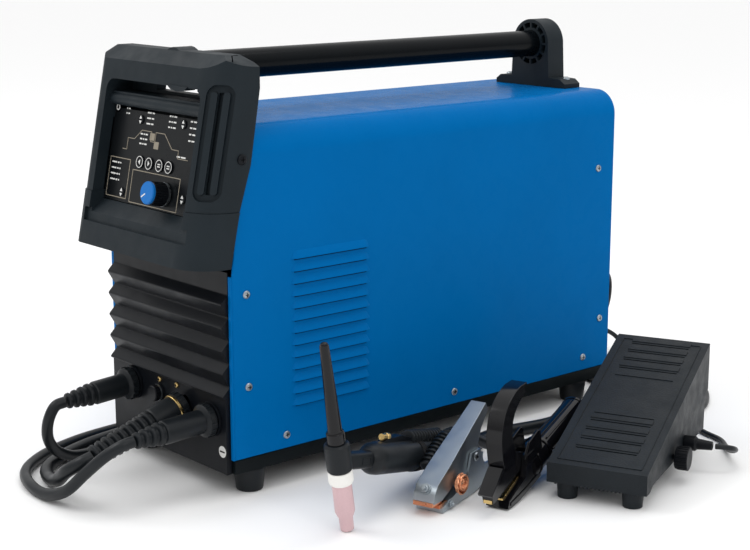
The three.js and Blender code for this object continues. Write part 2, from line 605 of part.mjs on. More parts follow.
function makeHolder() {
  const spot = group(machine, HOLDER.x, HOLDER.y, 0, [0, 0, HOLDER.heading]);
  const jaw = plateY([[0, 2], [8, 0.4], [30, 2], [80, 12], [84, 40], [62, 46], [46, 44], [42, 22],
    [4, 9]], 12);
  const profile = [[0, 62], [14.5, 62], [16, 68], [16, 100], [13, 106], [14, 196], [10, 200], [0, 200]];
  const barrel = turned(profile, 16).rotateX(-Math.PI / 2 + 0.19).translate(0, 2, 13);
  const slot = box(12, 44, 44, 0, 54, 43);
  const pin = rodX(2.6, -11.5, 11.5, 14).translate(0, HOLDER_PIVOT.y, HOLDER_PIVOT.z);
  add(spot, 'holder_body', join(cut(join(jaw, barrel), slot), pin), BLACK, 0.45);
  const lever = new THREE.Shape();
  lever.moveTo(-20, 12);
  lever.lineTo(20, 22);
  lever.lineTo(46, 30);
  lever.lineTo(58, 32);
  lever.lineTo(58, 43);
  lever.lineTo(30, 52);
  lever.quadraticCurveTo(6, 92, 52, 108);
  lever.lineTo(46, 119);
  lever.quadraticCurveTo(-26, 112, 0, 44);
  lever.lineTo(-24, 22);
  const arm = crosswise(lever, -5.6, 5.6, 8);
  const eye = rodX(2.9, -20, 20, 14).translate(0, HOLDER_PIVOT.y, HOLDER_PIVOT.z);
  add(spot, 'holder_lever', cut(arm, eye), BLACK, 0.4);
}

// ---- Foot pedal ---------------------------------------------------------------------------------
// Its group's +X runs across the pedal and +Y from its toe end to its heel end.
function makePedal() {
  const spot = group(machine, PEDAL.x, PEDAL.y, 0, [0, 0, PEDAL.heading]);
  const { width, length, low, high, base } = PEDAL;
  const rise = (y) => low + (high - low) * y / length;
  const skirtEdge = [[0, 17], [12, 17], [40, 31], [length, high - 52]];
  const side = [[5, base], [length - 5, base], [length - 5, high - 42], [9, low - 13], [5, low - 14]];
  const walls = crosswise(outline(side), 2, width - 2);
  const room = [[8, base + 3], [length - 8, base + 3], [length - 8, 140], [8, 140]];
  const inside = crosswise(outline(room), 6, width - 6);
  const feet = [[18, 14], [width - 18, 14], [18, length - 18], [width - 18, length - 18]]
    .map(([x, y]) => turned([[0, 0], [10, 0], [11.5, base + 1], [0, base + 1]], 14).translate(x, y, 0));
  const knobHole = rodX(2.9, width - 20, width + 20, 14).translate(0, PEDAL.knobY, PEDAL.knobZ);
  add(spot, 'pedal_base', cut(join(walls, ...feet), inside, knobHole), BLACK, 0.55);

  const skirts = crosswise(outline([...skirtEdge, [length, high], [0, low]]), 0, width);
  const under = crosswise(outline([[1.6, 0], [length - 1.6, 0], [length - 1.6, high - 4], [1.6, low - 3.4]]),
    1.6, width - 1.6);
  const grooves = [30, 46, 62, 78, 176, 192, 208, 224].map((y) =>
    box(width - 40, 1.6, 3).rotateX(Math.atan((high - low) / length)).translate(width / 2, y, rise(y)));
  add(spot, 'pedal_treadle', cut(skirts, under, ...grooves), BLACK, 0.6);

  const knob = join(rodX(12, width + 1, width + 15, 20), rodX(2.6, width - 10, width + 3, 14));
  add(spot, 'pedal_knob', knob.translate(0, PEDAL.knobY, PEDAL.knobZ), BLACK, 0.5);
  const gland = turned([[0, 0], [8, 0], [8, 12], [6, 14], [4.6, 30], [0, 30]], 16)
    .rotateY(Math.PI / 2).translate(width - 2 + GAP, PEDAL.glandY, PEDAL.sideZ);
  add(spot, 'pedal_gland', gland, BLACK, 0.6);
}

// ---- Leads --------------------------------------------------------------------------------------
// Each lead is a fixed length of cable. Its free runs are tubes and its stored turns are one ring.
function leadTube(name, points, diameter, steps, sides = 8) {
  const path = new THREE.CatmullRomCurve3(points.map((p) => new THREE.Vector3(...p)), false, 'centripetal');
  const section = new THREE.Shape();
  for (let i = 0; i < sides; i += 1) {
    const a = (i + 0.5) * 2 * Math.PI / sides;
    const p = [Math.cos(a) * diameter / 2, Math.sin(a) * diameter / 2];
    if (i === 0) section.moveTo(...p);
    else section.lineTo(...p);
  }
  section.closePath();
  const tube = new THREE.ExtrudeGeometry(section, { steps, bevelEnabled: false, extrudePath: path });
  add(machine, name, tube, RUBBER, 0.7);
}

function leadCoil(name, x, y, radius, diameter, turns) {
  const r0 = radius - diameter / 2;
  const r1 = radius + diameter / 2;
  const high = (turns + 1) * (diameter + 0.3);
  const spot = group(machine, x, y, 0);
  add(spot, name, turned([[r0, 0.1], [r1, 0.1], [r1, high], [r0, high], [r0, 0.1]], 24), RUBBER, 0.7);
}

const TORCH_COIL = { x: -245, y: -75, radius: 72, turns: 5 };
const ELECTRODE_COIL = { x: -245, y: 105, radius: 66, turns: 2 };
const PEDAL_COIL = { x: -48, y: 395, radius: 34, turns: 6 };

const EARTH_ROUTE = [
  [80, -379.6, 74.6], [78, -392, 72], [68, -404, 62], [48, -415, 42], [22, -424, 18], [-10, -428, 7],
  [-48, -425, 6], [-88, -408, 6], [-120, -372, 6], [-142, -318, 6], [-150, -268, 6], [-151, -210, 6],
  [-151, -120, 6], [-151, 0, 6], [-151, 120, 6], [-151, 220, 6], [-140, 290, 6], [-104, 324, 6],
  [-50, 333, 6], [20, 331, 6], [90, 323, 6], [135, 296, 6], [160, 250, 6], [172, 190, 6], [182, 130, 6],
  [194, 70, 7], [200, 20, 12], [203, -20, 26], [211, -58, 46], [224.3, -97.6, 54],
  [231.6, -121, 44.5], [236.7, -135.6, 34],
];
const TORCH_ROUTE_IN = [
  [33, -398.9, 50.3], [31, -409, 47], [16, -418, 36], [-10, -414, 19], [-46, -404, 9], [-80, -387, 7],
  [-104, -354, 7], [-122, -310, 7], [-132, -262, 7], [-135, -225, 10], [-146, -190, 21], [-160, -155, 17],
  [-170, -130, 9], [-172.6, -117, 7.4],
];
const TORCH_ROUTE_OUT = [
  [-173, -30, 79], [-170, -5, 66], [-160, 30, 44], [-147, 65, 26], [-138, 100, 12], [-135, 140, 7],
  [-135, 210, 7], [-126, 272, 7], [-98, 305, 7], [-50, 317, 7], [20, 315, 7], [84, 304, 7], [118, 276, 7],
  [138, 230, 7], [154, 170, 7], [158, 120, 7], [148, 66, 7], [150, 32, 8], [168, -8, 12], [182, -38, 17],
  [186.6, -50, 18.6],
];
const ELECTRODE_ROUTE_IN = [
  [-64, -372.4, 80], [-65.6, -382, 77.4], [-69, -389, 63], [-73, -389, 44], [-79, -378, 26], [-87, -356, 12],
  [-96, -326, 6], [-107, -288, 6], [-117, -240, 6], [-120, -150, 6], [-120, -60, 6], [-123, -20, 9],
  [-135, 10, 21], [-155, 36, 21], [-172, 54, 9], [-178.6, 63, 6.4],
];
const ELECTRODE_ROUTE_OUT = [
  [-178, 147, 31], [-173, 175, 20], [-168, 210, 9], [-166, 245, 6], [-158, 298, 6], [-122, 338, 6],
  [-60, 349, 6], [20, 348, 6], [100, 342, 6], [152, 316, 6], [178, 268, 6], [191, 222, 6], [200, 176, 8],
  [210, 144, 22], [222, 116, 42], [232, 92, 50.5],
];
const PEDAL_ROUTE_IN = [
  [84, 288.4, 150], [84, 297, 149], [82, 310, 140], [72, 324, 114], [54, 336, 82], [32, 346, 52], [10, 355, 27],
  [-6, 363, 11], [-12, 368, 5.4], [-14, 373, 4],
];
const PEDAL_ROUTE_OUT = [
  [-14, 417, 36], [-11, 432, 27], [2, 446, 10], [26, 452, 3], [70, 444, 3], [125, 422, 3], [178, 386, 3],
  [218, 338, 3], [240, 290, 3], [262, 256, 3], [290, 244, 3], [317, 236, 3], [338, 219, 4], [354, 203, 8],
  [369, 190, 14], [379.5, 179, 20], [383, 167, 25], [378, 157, 27.5], [373.4, 152.2, 28],
];

function makeLeads() {
  leadTube('earth_lead', EARTH_ROUTE, LEAD_DIAMETER, 50);
  leadTube('torch_lead_front', TORCH_ROUTE_IN, TORCH_LEAD_DIAMETER, 18);
  leadCoil('torch_lead_coil', TORCH_COIL.x, TORCH_COIL.y, TORCH_COIL.radius,
    TORCH_LEAD_DIAMETER, TORCH_COIL.turns);
  leadTube('torch_lead_rear', TORCH_ROUTE_OUT, TORCH_LEAD_DIAMETER, 30);
  leadTube('electrode_lead_front', ELECTRODE_ROUTE_IN, LEAD_DIAMETER, 20);
  leadCoil('electrode_lead_coil', ELECTRODE_COIL.x, ELECTRODE_COIL.y, ELECTRODE_COIL.radius,
    LEAD_DIAMETER, ELECTRODE_COIL.turns);
  leadTube('electrode_lead_rear', ELECTRODE_ROUTE_OUT, LEAD_DIAMETER, 26);
  leadTube('pedal_lead_machine', PEDAL_ROUTE_IN, PEDAL_LEAD_DIAMETER, 14);
  leadCoil('pedal_lead_coil', PEDAL_COIL.x, PEDAL_COIL.y, PEDAL_COIL.radius,
    PEDAL_LEAD_DIAMETER, PEDAL_COIL.turns);
  leadTube('pedal_lead_pedal', PEDAL_ROUTE_OUT, PEDAL_LEAD_DIAMETER, 26);
  const plug = turned([[0, -14], [8, -14], [8, 6.8], [11, 6.8], [11, 12], [7, 14], [4, 16.6], [0, 16.6]], 16)
    .rotateX(-Math.PI / 2);
  const spot = group(machine, 84, COVER_REAR - 9, 150);
  add(spot, 'pedal_plug', plug, BLACK, 0.6);
}

makeCover();
makeTray();
makeFeet();
makeFrontPanel();
makeBezelUpper();
makeBezelLower();
makeControlPanel();
makeHandle();
makeRear();
makeInside();
makeFrontPlugs();
makeTorch();
makeClamp();
makeHolder();
makePedal();
makeLeads();

// ---- Origin: the middle of the underside, without the leads and their plugs ---------------------
const LEAD_NODES = /_lead(_|$)|_plug$/;
const bounds = new THREE.Box3();
machine.updateMatrixWorld(true);
machine.traverse((o) => {
  if (o.isMesh && !LEAD_NODES.test(o.name)) bounds.expandByObject(o, true);
});
const centre = bounds.getCenter(new THREE.Vector3());
machine.position.set(-centre.x, -centre.y, -bounds.min.z);

const assembly = new THREE.Group();
assembly.add(machine);
export default assembly;
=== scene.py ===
"""A portable TIG welding machine with its torch, earth clamp, electrode holder and foot pedal.

Shapes are made in millimetres in the machine's own frame (front towards -Y, right side towards +X, floor at
z = 0) or in the frame of one accessory, and are placed in the CAD frame, in metres, when a piece is finished.
"""
import json
import math

import bmesh
import bpy
from mathutils import Matrix, Vector

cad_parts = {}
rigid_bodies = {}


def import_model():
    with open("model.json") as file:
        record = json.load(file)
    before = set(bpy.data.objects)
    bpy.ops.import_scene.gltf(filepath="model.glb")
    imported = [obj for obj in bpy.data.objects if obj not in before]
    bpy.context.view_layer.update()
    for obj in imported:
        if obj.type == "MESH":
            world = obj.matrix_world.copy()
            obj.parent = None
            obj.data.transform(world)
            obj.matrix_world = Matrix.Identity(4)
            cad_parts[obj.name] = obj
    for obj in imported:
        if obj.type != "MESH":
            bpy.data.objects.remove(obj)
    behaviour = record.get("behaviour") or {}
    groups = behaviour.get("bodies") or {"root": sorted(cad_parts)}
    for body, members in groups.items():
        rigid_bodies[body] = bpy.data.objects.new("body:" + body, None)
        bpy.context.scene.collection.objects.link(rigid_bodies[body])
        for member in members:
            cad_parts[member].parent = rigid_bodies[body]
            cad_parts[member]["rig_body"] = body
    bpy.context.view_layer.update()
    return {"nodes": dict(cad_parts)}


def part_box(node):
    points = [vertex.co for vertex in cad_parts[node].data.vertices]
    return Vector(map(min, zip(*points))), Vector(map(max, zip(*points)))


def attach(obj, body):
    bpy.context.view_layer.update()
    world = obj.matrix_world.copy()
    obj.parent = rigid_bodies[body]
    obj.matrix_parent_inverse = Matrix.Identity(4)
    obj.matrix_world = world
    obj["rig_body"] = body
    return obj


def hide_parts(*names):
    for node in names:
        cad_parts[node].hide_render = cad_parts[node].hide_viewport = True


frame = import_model()

# ---- Frames of reference -------------------------------------------------------------------------
tray_low, tray_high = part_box("base_tray")
ORIGIN = Vector(((tray_low.x + tray_high.x) / 2, (tray_low.y + tray_high.y) / 2, 0.0))
MACHINE = Matrix.Translation(ORIGIN) @ Matrix.Scale(0.001, 4)


def placed(x=0.0, y=0.0, z=0.0, turn_x=0.0, turn_z=0.0):
    """A place in millimetres: turned about X, then about Z, then moved."""
    turned = Matrix.Rotation(turn_z, 4, "Z") @ Matrix.Rotation(turn_x, 4, "X")
    return Matrix.Translation((x, y, z)) @ turned


BEZEL_SIDE = 113.0
LEAN = 0.203  # how far the bezel's face leans back for each millimetre of height
LEAN_ANGLE = math.atan(LEAN)
FACE_FOOT = -323.0
BEZEL_BOTTOM = 238.0
PANEL_DEPTH = 15.0
TORCH_TILT = 0.195
TORCH = placed(248, -249, 1.4, turn_z=0.3) @ placed(turn_x=TORCH_TILT)
TORCH_HANDLE = TORCH @ placed(z=73, turn_x=-0.43)
CLAMP = placed(262, -155, 0, turn_z=0.3)
HOLDER = placed(302, -101, 0, turn_z=0.35)
PEDAL = placed(311, -40, 0, turn_z=0.42)
PANEL = placed(0, FACE_FOOT + LEAN * (300 - BEZEL_BOTTOM) + PANEL_DEPTH, 300, turn_x=-LEAN_ANGLE)


def world(point):
    """A point in the machine's millimetres as a place in the CAD frame, in metres."""
    return MACHINE @ Vector(point)


# ---- Camera and light ----------------------------------------------------------------------------
CAMERA_PLACE = (1359.93, -1170.44, 568.85)
CAMERA_AIM = (-0.7403, 0.6368, -0.2156)
CAMERA_LENS, CAMERA_SENSOR, CAMERA_REACH = 76.8, 36.0, 50.0
FLOOR_HALF = 12.0  # metres
FLOOR_DROP = 0.0004  # metres below the feet, so that the two surfaces don't coincide


def linked(name, data):
    """A new object in the scene."""
    obj = bpy.data.objects.new(name, data)
    bpy.context.scene.collection.objects.link(obj)
    return obj


def make_camera():
    camera = linked("camera", bpy.data.cameras.new("camera"))
    camera.location = world(CAMERA_PLACE)
    camera.rotation_euler = Vector(CAMERA_AIM).to_track_quat("-Z", "Y").to_euler()
    camera.data.lens = CAMERA_LENS
    camera.data.sensor_width = CAMERA_SENSOR
    camera.data.clip_end = CAMERA_REACH
    bpy.context.scene.camera = camera


def area_light(name, place, target, size, power):
    data = bpy.data.lights.new(name, "AREA")
    data.shape = "RECTANGLE"
    data.size, data.size_y = size
    data.energy = power
    light = linked(name, data)
    light.location = place
    light.rotation_euler = (Vector(target) - Vector(place)).to_track_quat("-Z", "Y").to_euler()


def make_lights():
    """A white dome that is brighter overhead than at the horizon, and three soft panels."""
    background = bpy.data.worlds.new("studio")
    background.use_nodes = True
    sky = background.node_tree
    place = sky.nodes.new("ShaderNodeTexCoord")
    height = sky.nodes.new("ShaderNodeSeparateXYZ")
    dome = sky.nodes.new("ShaderNodeMapRange")
    for socket, value in (("From Min", 0.1), ("From Max", 0.6), ("To Min", 0.55), ("To Max", 1.12)):
        dome.inputs[socket].default_value = value
    sky.links.new(place.outputs["Generated"], height.inputs["Vector"])
    sky.links.new(height.outputs["Z"], dome.inputs["Value"])
    sky.links.new(dome.outputs["Result"], sky.nodes["Background"].inputs["Strength"])
    sky.nodes["Background"].inputs["Color"].default_value = (1, 1, 1, 1)
    bpy.context.scene.world = background
    bpy.context.scene.view_settings.view_transform = "Standard"
    area_light("key", (-1.6, -1.8, 2.6), (0, 0, 0.2), (1.6, 1.2), 24)
    area_light("side", (2.4, -0.6, 1.9), (0, 0, 0.1), (0.5, 1.6), 7)
    area_light("top", (0.1, 0.4, 2.6), (-0.1, 0, 0.3), (0.5, 1.8), 9)


def make_floor():
    mesh = bpy.data.meshes.new("floor")
    s = FLOOR_HALF
    mesh.from_pydata([(-s, -s, 0), (s, -s, 0), (s, s, 0), (-s, s, 0)], [], [(0, 1, 2, 3)])
    floor = linked("floor", mesh)
    floor.location.z = -FLOOR_DROP
    paint = bpy.data.materials.new("studio_floor")
    paint.use_nodes = True
    shader = paint.node_tree.nodes["Principled BSDF"]
    shader.inputs["Base Color"].default_value = (0.93, 0.93, 0.93, 1)
    shader.inputs["Roughness"].default_value = 0.7
    mesh.materials.append(paint)


# ---- Materials -----------------------------------------------------------------------------------
# The record's slot for each surface that has no slot of its own name.
SLOTS = {
    "handle_paint": "black_steel", "cable": "rubber", "copper": "brass", "shadow_black": "black_plastic",
    "white_print": "panel_black", "beige_print": "panel_black", "pedal_black": "black_plastic",
    "hook_and_loop": "rubber",
}


NOISE_LOW, NOISE_HIGH = 0.3, 0.7  # where most of a noise's values lie
DRIFT_SCALE, WEAR_SCALE = 14.0, 55.0
COAT_ROUGHNESS = 0.06


def noise(tree, place, scale, detail=3.0):
    node = tree.nodes.new("ShaderNodeTexNoise")
    node.inputs["Scale"].default_value = scale
    node.inputs["Detail"].default_value = detail
    tree.links.new(place, node.inputs["Vector"])
    return node.outputs["Fac"]


def ranged(tree, value, low, high):
    """Spreads a noise over low to high."""
    node = tree.nodes.new("ShaderNodeMapRange")
    node.inputs["From Min"].default_value = NOISE_LOW
    node.inputs["From Max"].default_value = NOISE_HIGH
    node.inputs["To Min"].default_value = low
    node.inputs["To Max"].default_value = high
    tree.links.new(value, node.inputs["Value"])
    return node.outputs["Result"]


def bump_node(tree, height, strength, distance):
    """A bump node that follows a height."""
    node = tree.nodes.new("ShaderNodeBump")
    node.inputs["Strength"].default_value = strength
    node.inputs["Distance"].default_value = distance
    tree.links.new(height, node.inputs["Height"])
    return node


def shaded(color, factor):
    return tuple(min(1.0, c * factor) for c in color) + (1.0,)


def material(
    name, color, roughness, metallic=0.0, coat=0.0, grain=900.0, bump=0.12, depth=0.0002,
    spread=0.18, dust=0.08, streak=(1, 1, 1), specular=0.22,
):
    """A surface whose colour drifts slowly, whose gloss varies, and whose fine grain stands in relief."""
    made = bpy.data.materials.new(name)
    made["slot"] = SLOTS.get(name, name)
    made.use_nodes = True
    tree = made.node_tree
    shader = tree.nodes["Principled BSDF"]
    shader.inputs["Metallic"].default_value = metallic
    shader.inputs["Coat Weight"].default_value = coat
    shader.inputs["Coat Roughness"].default_value = COAT_ROUGHNESS
    shader.inputs["Specular IOR Level"].default_value = specular

    coordinates = tree.nodes.new("ShaderNodeTexCoord")
    mapping = tree.nodes.new("ShaderNodeMapping")
    mapping.inputs["Scale"].default_value = streak
    tree.links.new(coordinates.outputs["Object"], mapping.inputs["Vector"])
    place = mapping.outputs["Vector"]

    drift = ranged(tree, noise(tree, coordinates.outputs["Object"], DRIFT_SCALE), 0.0, 1.0)
    tone = tree.nodes.new("ShaderNodeMix")
    tone.data_type = "RGBA"
    tone.inputs["A"].default_value = shaded(color, 1 - spread)
    tone.inputs["B"].default_value = shaded(color, 1 + spread)
    tree.links.new(drift, tone.inputs["Factor"])
    speckled = tree.nodes.new("ShaderNodeMix")
    speckled.data_type = "RGBA"
    speckled.inputs["B"].default_value = shaded(color, 1 + 4 * dust)
    tree.links.new(tone.outputs["Result"], speckled.inputs["A"])
    tree.links.new(ranged(tree, noise(tree, place, grain * 0.6), 0.0, 0.5), speckled.inputs["Factor"])
    tree.links.new(speckled.outputs["Result"], shader.inputs["Base Color"])

    wear = ranged(tree, noise(tree, place, WEAR_SCALE, 5.0), roughness * 0.82, min(1.0, roughness * 1.2))
    tree.links.new(wear, shader.inputs["Roughness"])

    fine = bump_node(tree, noise(tree, place, grain), bump, depth)
    tree.links.new(fine.outputs["Normal"], shader.inputs["Normal"])
    return made


def cellular(made, scale, strength, depth):
    """Adds a pebbled texture to a moulded surface."""
    tree = made.node_tree
    cells = tree.nodes.new("ShaderNodeTexVoronoi")
    cells.inputs["Scale"].default_value = scale
    coordinates = next(n for n in tree.nodes if n.bl_idname == "ShaderNodeTexCoord")
    tree.links.new(coordinates.outputs["Object"], cells.inputs["Vector"])
    first = next(n for n in tree.nodes if n.bl_idname == "ShaderNodeBump")
    pebbled = bump_node(tree, cells.outputs["Distance"], strength, depth)
    tree.links.new(first.outputs["Normal"], pebbled.inputs["Normal"])
    tree.links.new(pebbled.outputs["Normal"], tree.nodes["Principled BSDF"].inputs["Normal"])
    return made


COVER_BLUE = material(
    "cover_blue", (0.0, 0.125, 0.38), 0.28, grain=420, bump=0.03, spread=0.03, dust=0.0, specular=0.015)
BLACK_STEEL = material("black_steel", (0.004, 0.006, 0.007), 0.36, grain=700, bump=0.08, specular=0.09)
HANDLE_PAINT = material("handle_paint", (0.002, 0.003, 0.004), 0.2, grain=500, bump=0.03, specular=0.09)
CHARCOAL = cellular(
    material("bezel_charcoal", (0.009, 0.014, 0.018), 0.5, grain=1500, bump=0.16, specular=0.17),
    1400, 0.1, 0.0002)
FILM = material("panel_black", (0.004, 0.005, 0.006), 0.3, grain=1300, bump=0.05)
MOULDED = material("black_plastic", (0.004, 0.005, 0.007), 0.36, grain=1400, bump=0.12, specular=0.14)
RUBBER = material("rubber", (0.006, 0.008, 0.01), 0.4, grain=1100, bump=0.14, specular=0.24)
CABLE = material("cable", (0.006, 0.008, 0.01), 0.36, grain=800, bump=0.12, specular=0.26)
KNOB_BLUE = material(
    "knob_blue", (0.004, 0.14, 0.46), 0.35, grain=1200, bump=0.06, spread=0.06, dust=0.0)
ZINC = material(
    "zinc", (0.36, 0.4, 0.43), 0.36, metallic=1.0, grain=500, bump=0.1, spread=0.1, dust=0.0)
BRASS = material(
    "brass", (0.62, 0.44, 0.18), 0.26, metallic=1.0, grain=600, bump=0.12, spread=0.12, dust=0.0)
COPPER = material(
    "copper", (0.76, 0.34, 0.19), 0.3, metallic=1.0, grain=700, bump=0.15, spread=0.2, dust=0.0)
ALUMINIUM = material(
    "aluminium", (0.6, 0.61, 0.62), 0.35, metallic=1.0, grain=300, streak=(1, 0.05, 1), dust=0.0)
BOARD = material("board_green", (0.012, 0.08, 0.03), 0.4, grain=500, bump=0.1)
WINDING = material("winding", (0.2, 0.09, 0.03), 0.45, grain=400, bump=0.3, streak=(1, 1, 8))
CERAMIC = material(
    "ceramic_pink", (0.64, 0.44, 0.46), 0.4, coat=0.1, grain=1200, bump=0.08, spread=0.06, dust=0.02)
INSULATOR = material(
    "insulator_white", (0.86, 0.85, 0.81), 0.45, grain=900, bump=0.1, spread=0.05, dust=0.0)
GLOSS_BLACK = material("gloss_black", (0.003, 0.003, 0.004), 0.13, grain=500, bump=0.02, specular=0.3)
RED = material("rocker_red", (0.38, 0.015, 0.01), 0.25, coat=0.4, grain=500, bump=0.04)
SHADOW = material("shadow_black", (0.002, 0.002, 0.003), 0.9, specular=0.05)
WHITE_PRINT = material(
    "white_print", (0.7, 0.7, 0.68), 0.5, grain=1600, bump=0.05, spread=0.05, dust=0.0)
BEIGE_PRINT = material(
    "beige_print", (0.26, 0.23, 0.18), 0.5, grain=1600, bump=0.05, spread=0.08, dust=0.0)
PEDAL_BLACK = cellular(
    material("pedal_black", (0.008, 0.011, 0.014), 0.48, grain=1300, bump=0.2, specular=0.2),
    520, 0.3, 0.0005)
STRAP = material("hook_and_loop", (0.01, 0.01, 0.011), 0.9, grain=1900, bump=0.8, depth=0.0006)


# ---- Shapes --------------------------------------------------------------------------------------
def lathe(profile, segments=48):
    """A closed outline of (radius, height) turned about Z; it starts and ends on the axis or on itself."""
    bm = bmesh.new()
    loops = []
    for radius, height in profile:
        if radius < 1e-6:
            loops.append([bm.verts.new((0, 0, height))])
            continue
        turns = [2 * math.pi * i / segments for i in range(segments)]
        loops.append([bm.verts.new((radius * math.cos(a), radius * math.sin(a), height)) for a in turns])
    for low, high in zip(loops, loops[1:]):
        for i in range(segments):
            j = (i + 1) % segments
            corners = [low[i % len(low)], low[j % len(low)], high[j % len(high)], high[i % len(high)]]
            unique = list(dict.fromkeys(corners))
            if len(unique) > 2:
                bm.faces.new(unique)
    bmesh.ops.remove_doubles(bm, verts=bm.verts, dist=1e-5)
    bmesh.ops.recalc_face_normals(bm, faces=bm.faces)
    return bm


def loft(rings, closed=True, capped=True):
    """A skin over rings of points, each ring with the same number of points."""
    bm = bmesh.new()
    rows = [[bm.verts.new(p) for p in ring] for ring in rings]
    count = len(rows[0])
    for low, high in zip(rows, rows[1:]):
        for i in range(count if closed else count - 1):
            j = (i + 1) % count
            bm.faces.new((low[i], low[j], high[j], high[i]))
    if capped:
        bm.faces.new(list(reversed(rows[0])))
        bm.faces.new(rows[-1])
    bmesh.ops.recalc_face_normals(bm, faces=bm.faces)
    return bm


def prism(outline, low, high):
    """An outline of (x, y) points raised along Z."""
    return loft([[(x, y, low) for x, y in outline], [(x, y, high) for x, y in outline]])


def turned(bm, matrix):
    """The same shape, moved in place."""
    bmesh.ops.transform(bm, matrix=matrix, verts=bm.verts)
    return bm


def crosswise(outline, left, right):
    """An outline of (y, z) points running along X."""
    swap = Matrix(((0, 0, 1, 0), (1, 0, 0, 0), (0, 1, 0, 0), (0, 0, 0, 1)))
    return turned(prism(outline, left, right), swap)


def lengthwise(outline, front, rear):
    """An outline of (x, z) points running along Y."""
    return turned(prism(outline, -rear, -front), Matrix.Rotation(math.pi / 2, 4, "X"))


def block(size, centre):
    bm = bmesh.new()
    bmesh.ops.create_cube(bm, size=1.0)
    return turned(bm, Matrix.Translation(centre) @ Matrix.Diagonal((*size, 1.0)))


def eased(bm, width, segments=2, angle=32):
    """Rounds every edge that is sharper than the angle."""
    limit = math.radians(angle)
    edges = [e for e in bm.edges if e.is_manifold and e.calc_face_angle(0) > limit]
    bmesh.ops.bevel(
        bm, geom=edges, offset=width, offset_type="OFFSET", segments=segments, profile=0.5,
        affect="EDGES", clamp_overlap=True)
    return bm


def along(points):
    """Places and directions along a line of points, for sweeping a section."""
    line = [Vector(p) for p in points]
    steps = []
    for i, point in enumerate(line):
        before = line[i - 1] if i else point
        after = line[i + 1] if i + 1 < len(line) else point
        steps.append((point, (after - before).normalized()))
    return steps


def tube(points, radius, sides=10):
    """A round bar bent along a line of points; the radius is one number or one for each point."""
    rings = []
    side = None
    radii = radius if isinstance(radius, list) else [radius] * len(points)
    for (point, forward), radius in zip(along(points), radii):
        if side is None:
            side = forward.orthogonal().normalized()
        side = (side - forward * side.dot(forward)).normalized()
        up = forward.cross(side)
        turns = [2 * math.pi * i / sides for i in range(sides)]
        rings.append([point + radius * (math.cos(a) * side + math.sin(a) * up) for a in turns])
    return loft(rings)


def smoothed(points, per_span=8):
    """A centripetal spline through the points."""
    p = [Vector(q) for q in points]
    p = [2 * p[0] - p[1], *p, 2 * p[-1] - p[-2]]
    line = []
    for a, b, c, d in zip(p, p[1:], p[2:], p[3:]):
        t1 = (b - a).length ** 0.5
        t2 = t1 + (c - b).length ** 0.5
        t3 = t2 + (d - c).length ** 0.5
        for i in range(per_span):
            t = t1 + (t2 - t1) * i / per_span
            u = a + (b - a) * t / t1
            v = b + (c - b) * (t - t1) / (t2 - t1)
            w = c + (d - c) * (t - t2) / (t3 - t2)
            e = u + (v - u) * t / t2
            f = v + (w - v) * (t - t1) / (t3 - t1)
            line.append(e + (f - e) * (t - t1) / (t2 - t1))
    return [*line, p[-2]]


def resampled(points, step):
    """The same line with points a fixed step apart."""
    line = [Vector(points[0])]
    for point in points[1:]:
        goal = Vector(point)
        while (goal - line[-1]).length >= step:
            line.append(line[-1] + (goal - line[-1]).normalized() * step)
    return line


def ribbed(points, low, high, pitch=5.0):
    """A sleeve of raised rings along a line, for a bend relief."""
    line = resampled(points, pitch / 8)
    rise = [0.0, 0.9, 1.0, 1.0, 0.9, 0.1, 0.0, 0.0]
    return tube(line, [low + (high - low) * rise[i % 8] for i in range(len(line))], 24)


def strap(points, half, thick):
    """A flat bar of a given half width across X, bent along (y, z) points, thick to the left of their way."""
    rings = []
    for (_, y, z), forward in along([(0, y, z) for y, z in points]):
        dy, dz = -forward.z * thick, forward.y * thick
        rings.append([(-half, y, z), (half, y, z), (half, y + dy, z + dz), (-half, y + dy, z + dz)])
    return loft(rings)


def arc(start, control, end, steps=16):
    """Points on a quadratic curve."""
    points = []
    for i in range(steps + 1):
        t = i / steps
        points.append(tuple((1 - t) ** 2 * a + 2 * t * (1 - t) * b + t * t * c
                            for a, b, c in zip(start, control, end)))
    return points


# ---- Pieces --------------------------------------------------------------------------------------
def finish(name, bm, materials, body, replaces=(), sharp=32):
    """Turns a bmesh in world coordinates into a piece that rides on a body."""
    limit = math.radians(sharp)
    for edge in bm.edges:
        edge.smooth = edge.is_manifold and edge.calc_face_angle(0) < limit
    for face in bm.faces:
        face.smooth = True
    mesh = bpy.data.meshes.new(name)
    bm.to_mesh(mesh)
    bm.free()
    for made in materials:
        mesh.materials.append(made)
    obj = linked(name, mesh)
    weighted = obj.modifiers.new("weighted", "WEIGHTED_NORMAL")
    weighted.keep_sharp = True
    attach(obj, body)
    if replaces:
        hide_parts(*replaces)
    return obj


def piece(name, parts, body="root", where=None, replaces=(), sharp=32):
    """Joins parts, each a bmesh in millimetres with its material, into one piece in the given frame."""
    whole = bmesh.new()
    materials = []
    for part, made in parts:
        if made not in materials:
            materials.append(made)
        for face in part.faces:
            face.material_index = materials.index(made)
        held = bpy.data.meshes.new("held")
        part.to_mesh(held)
        whole.from_mesh(held)
        bpy.data.meshes.remove(held)
        part.free()
    whole.transform(MACHINE @ (where or Matrix()))
    return finish(name, whole, materials, body, replaces, sharp)


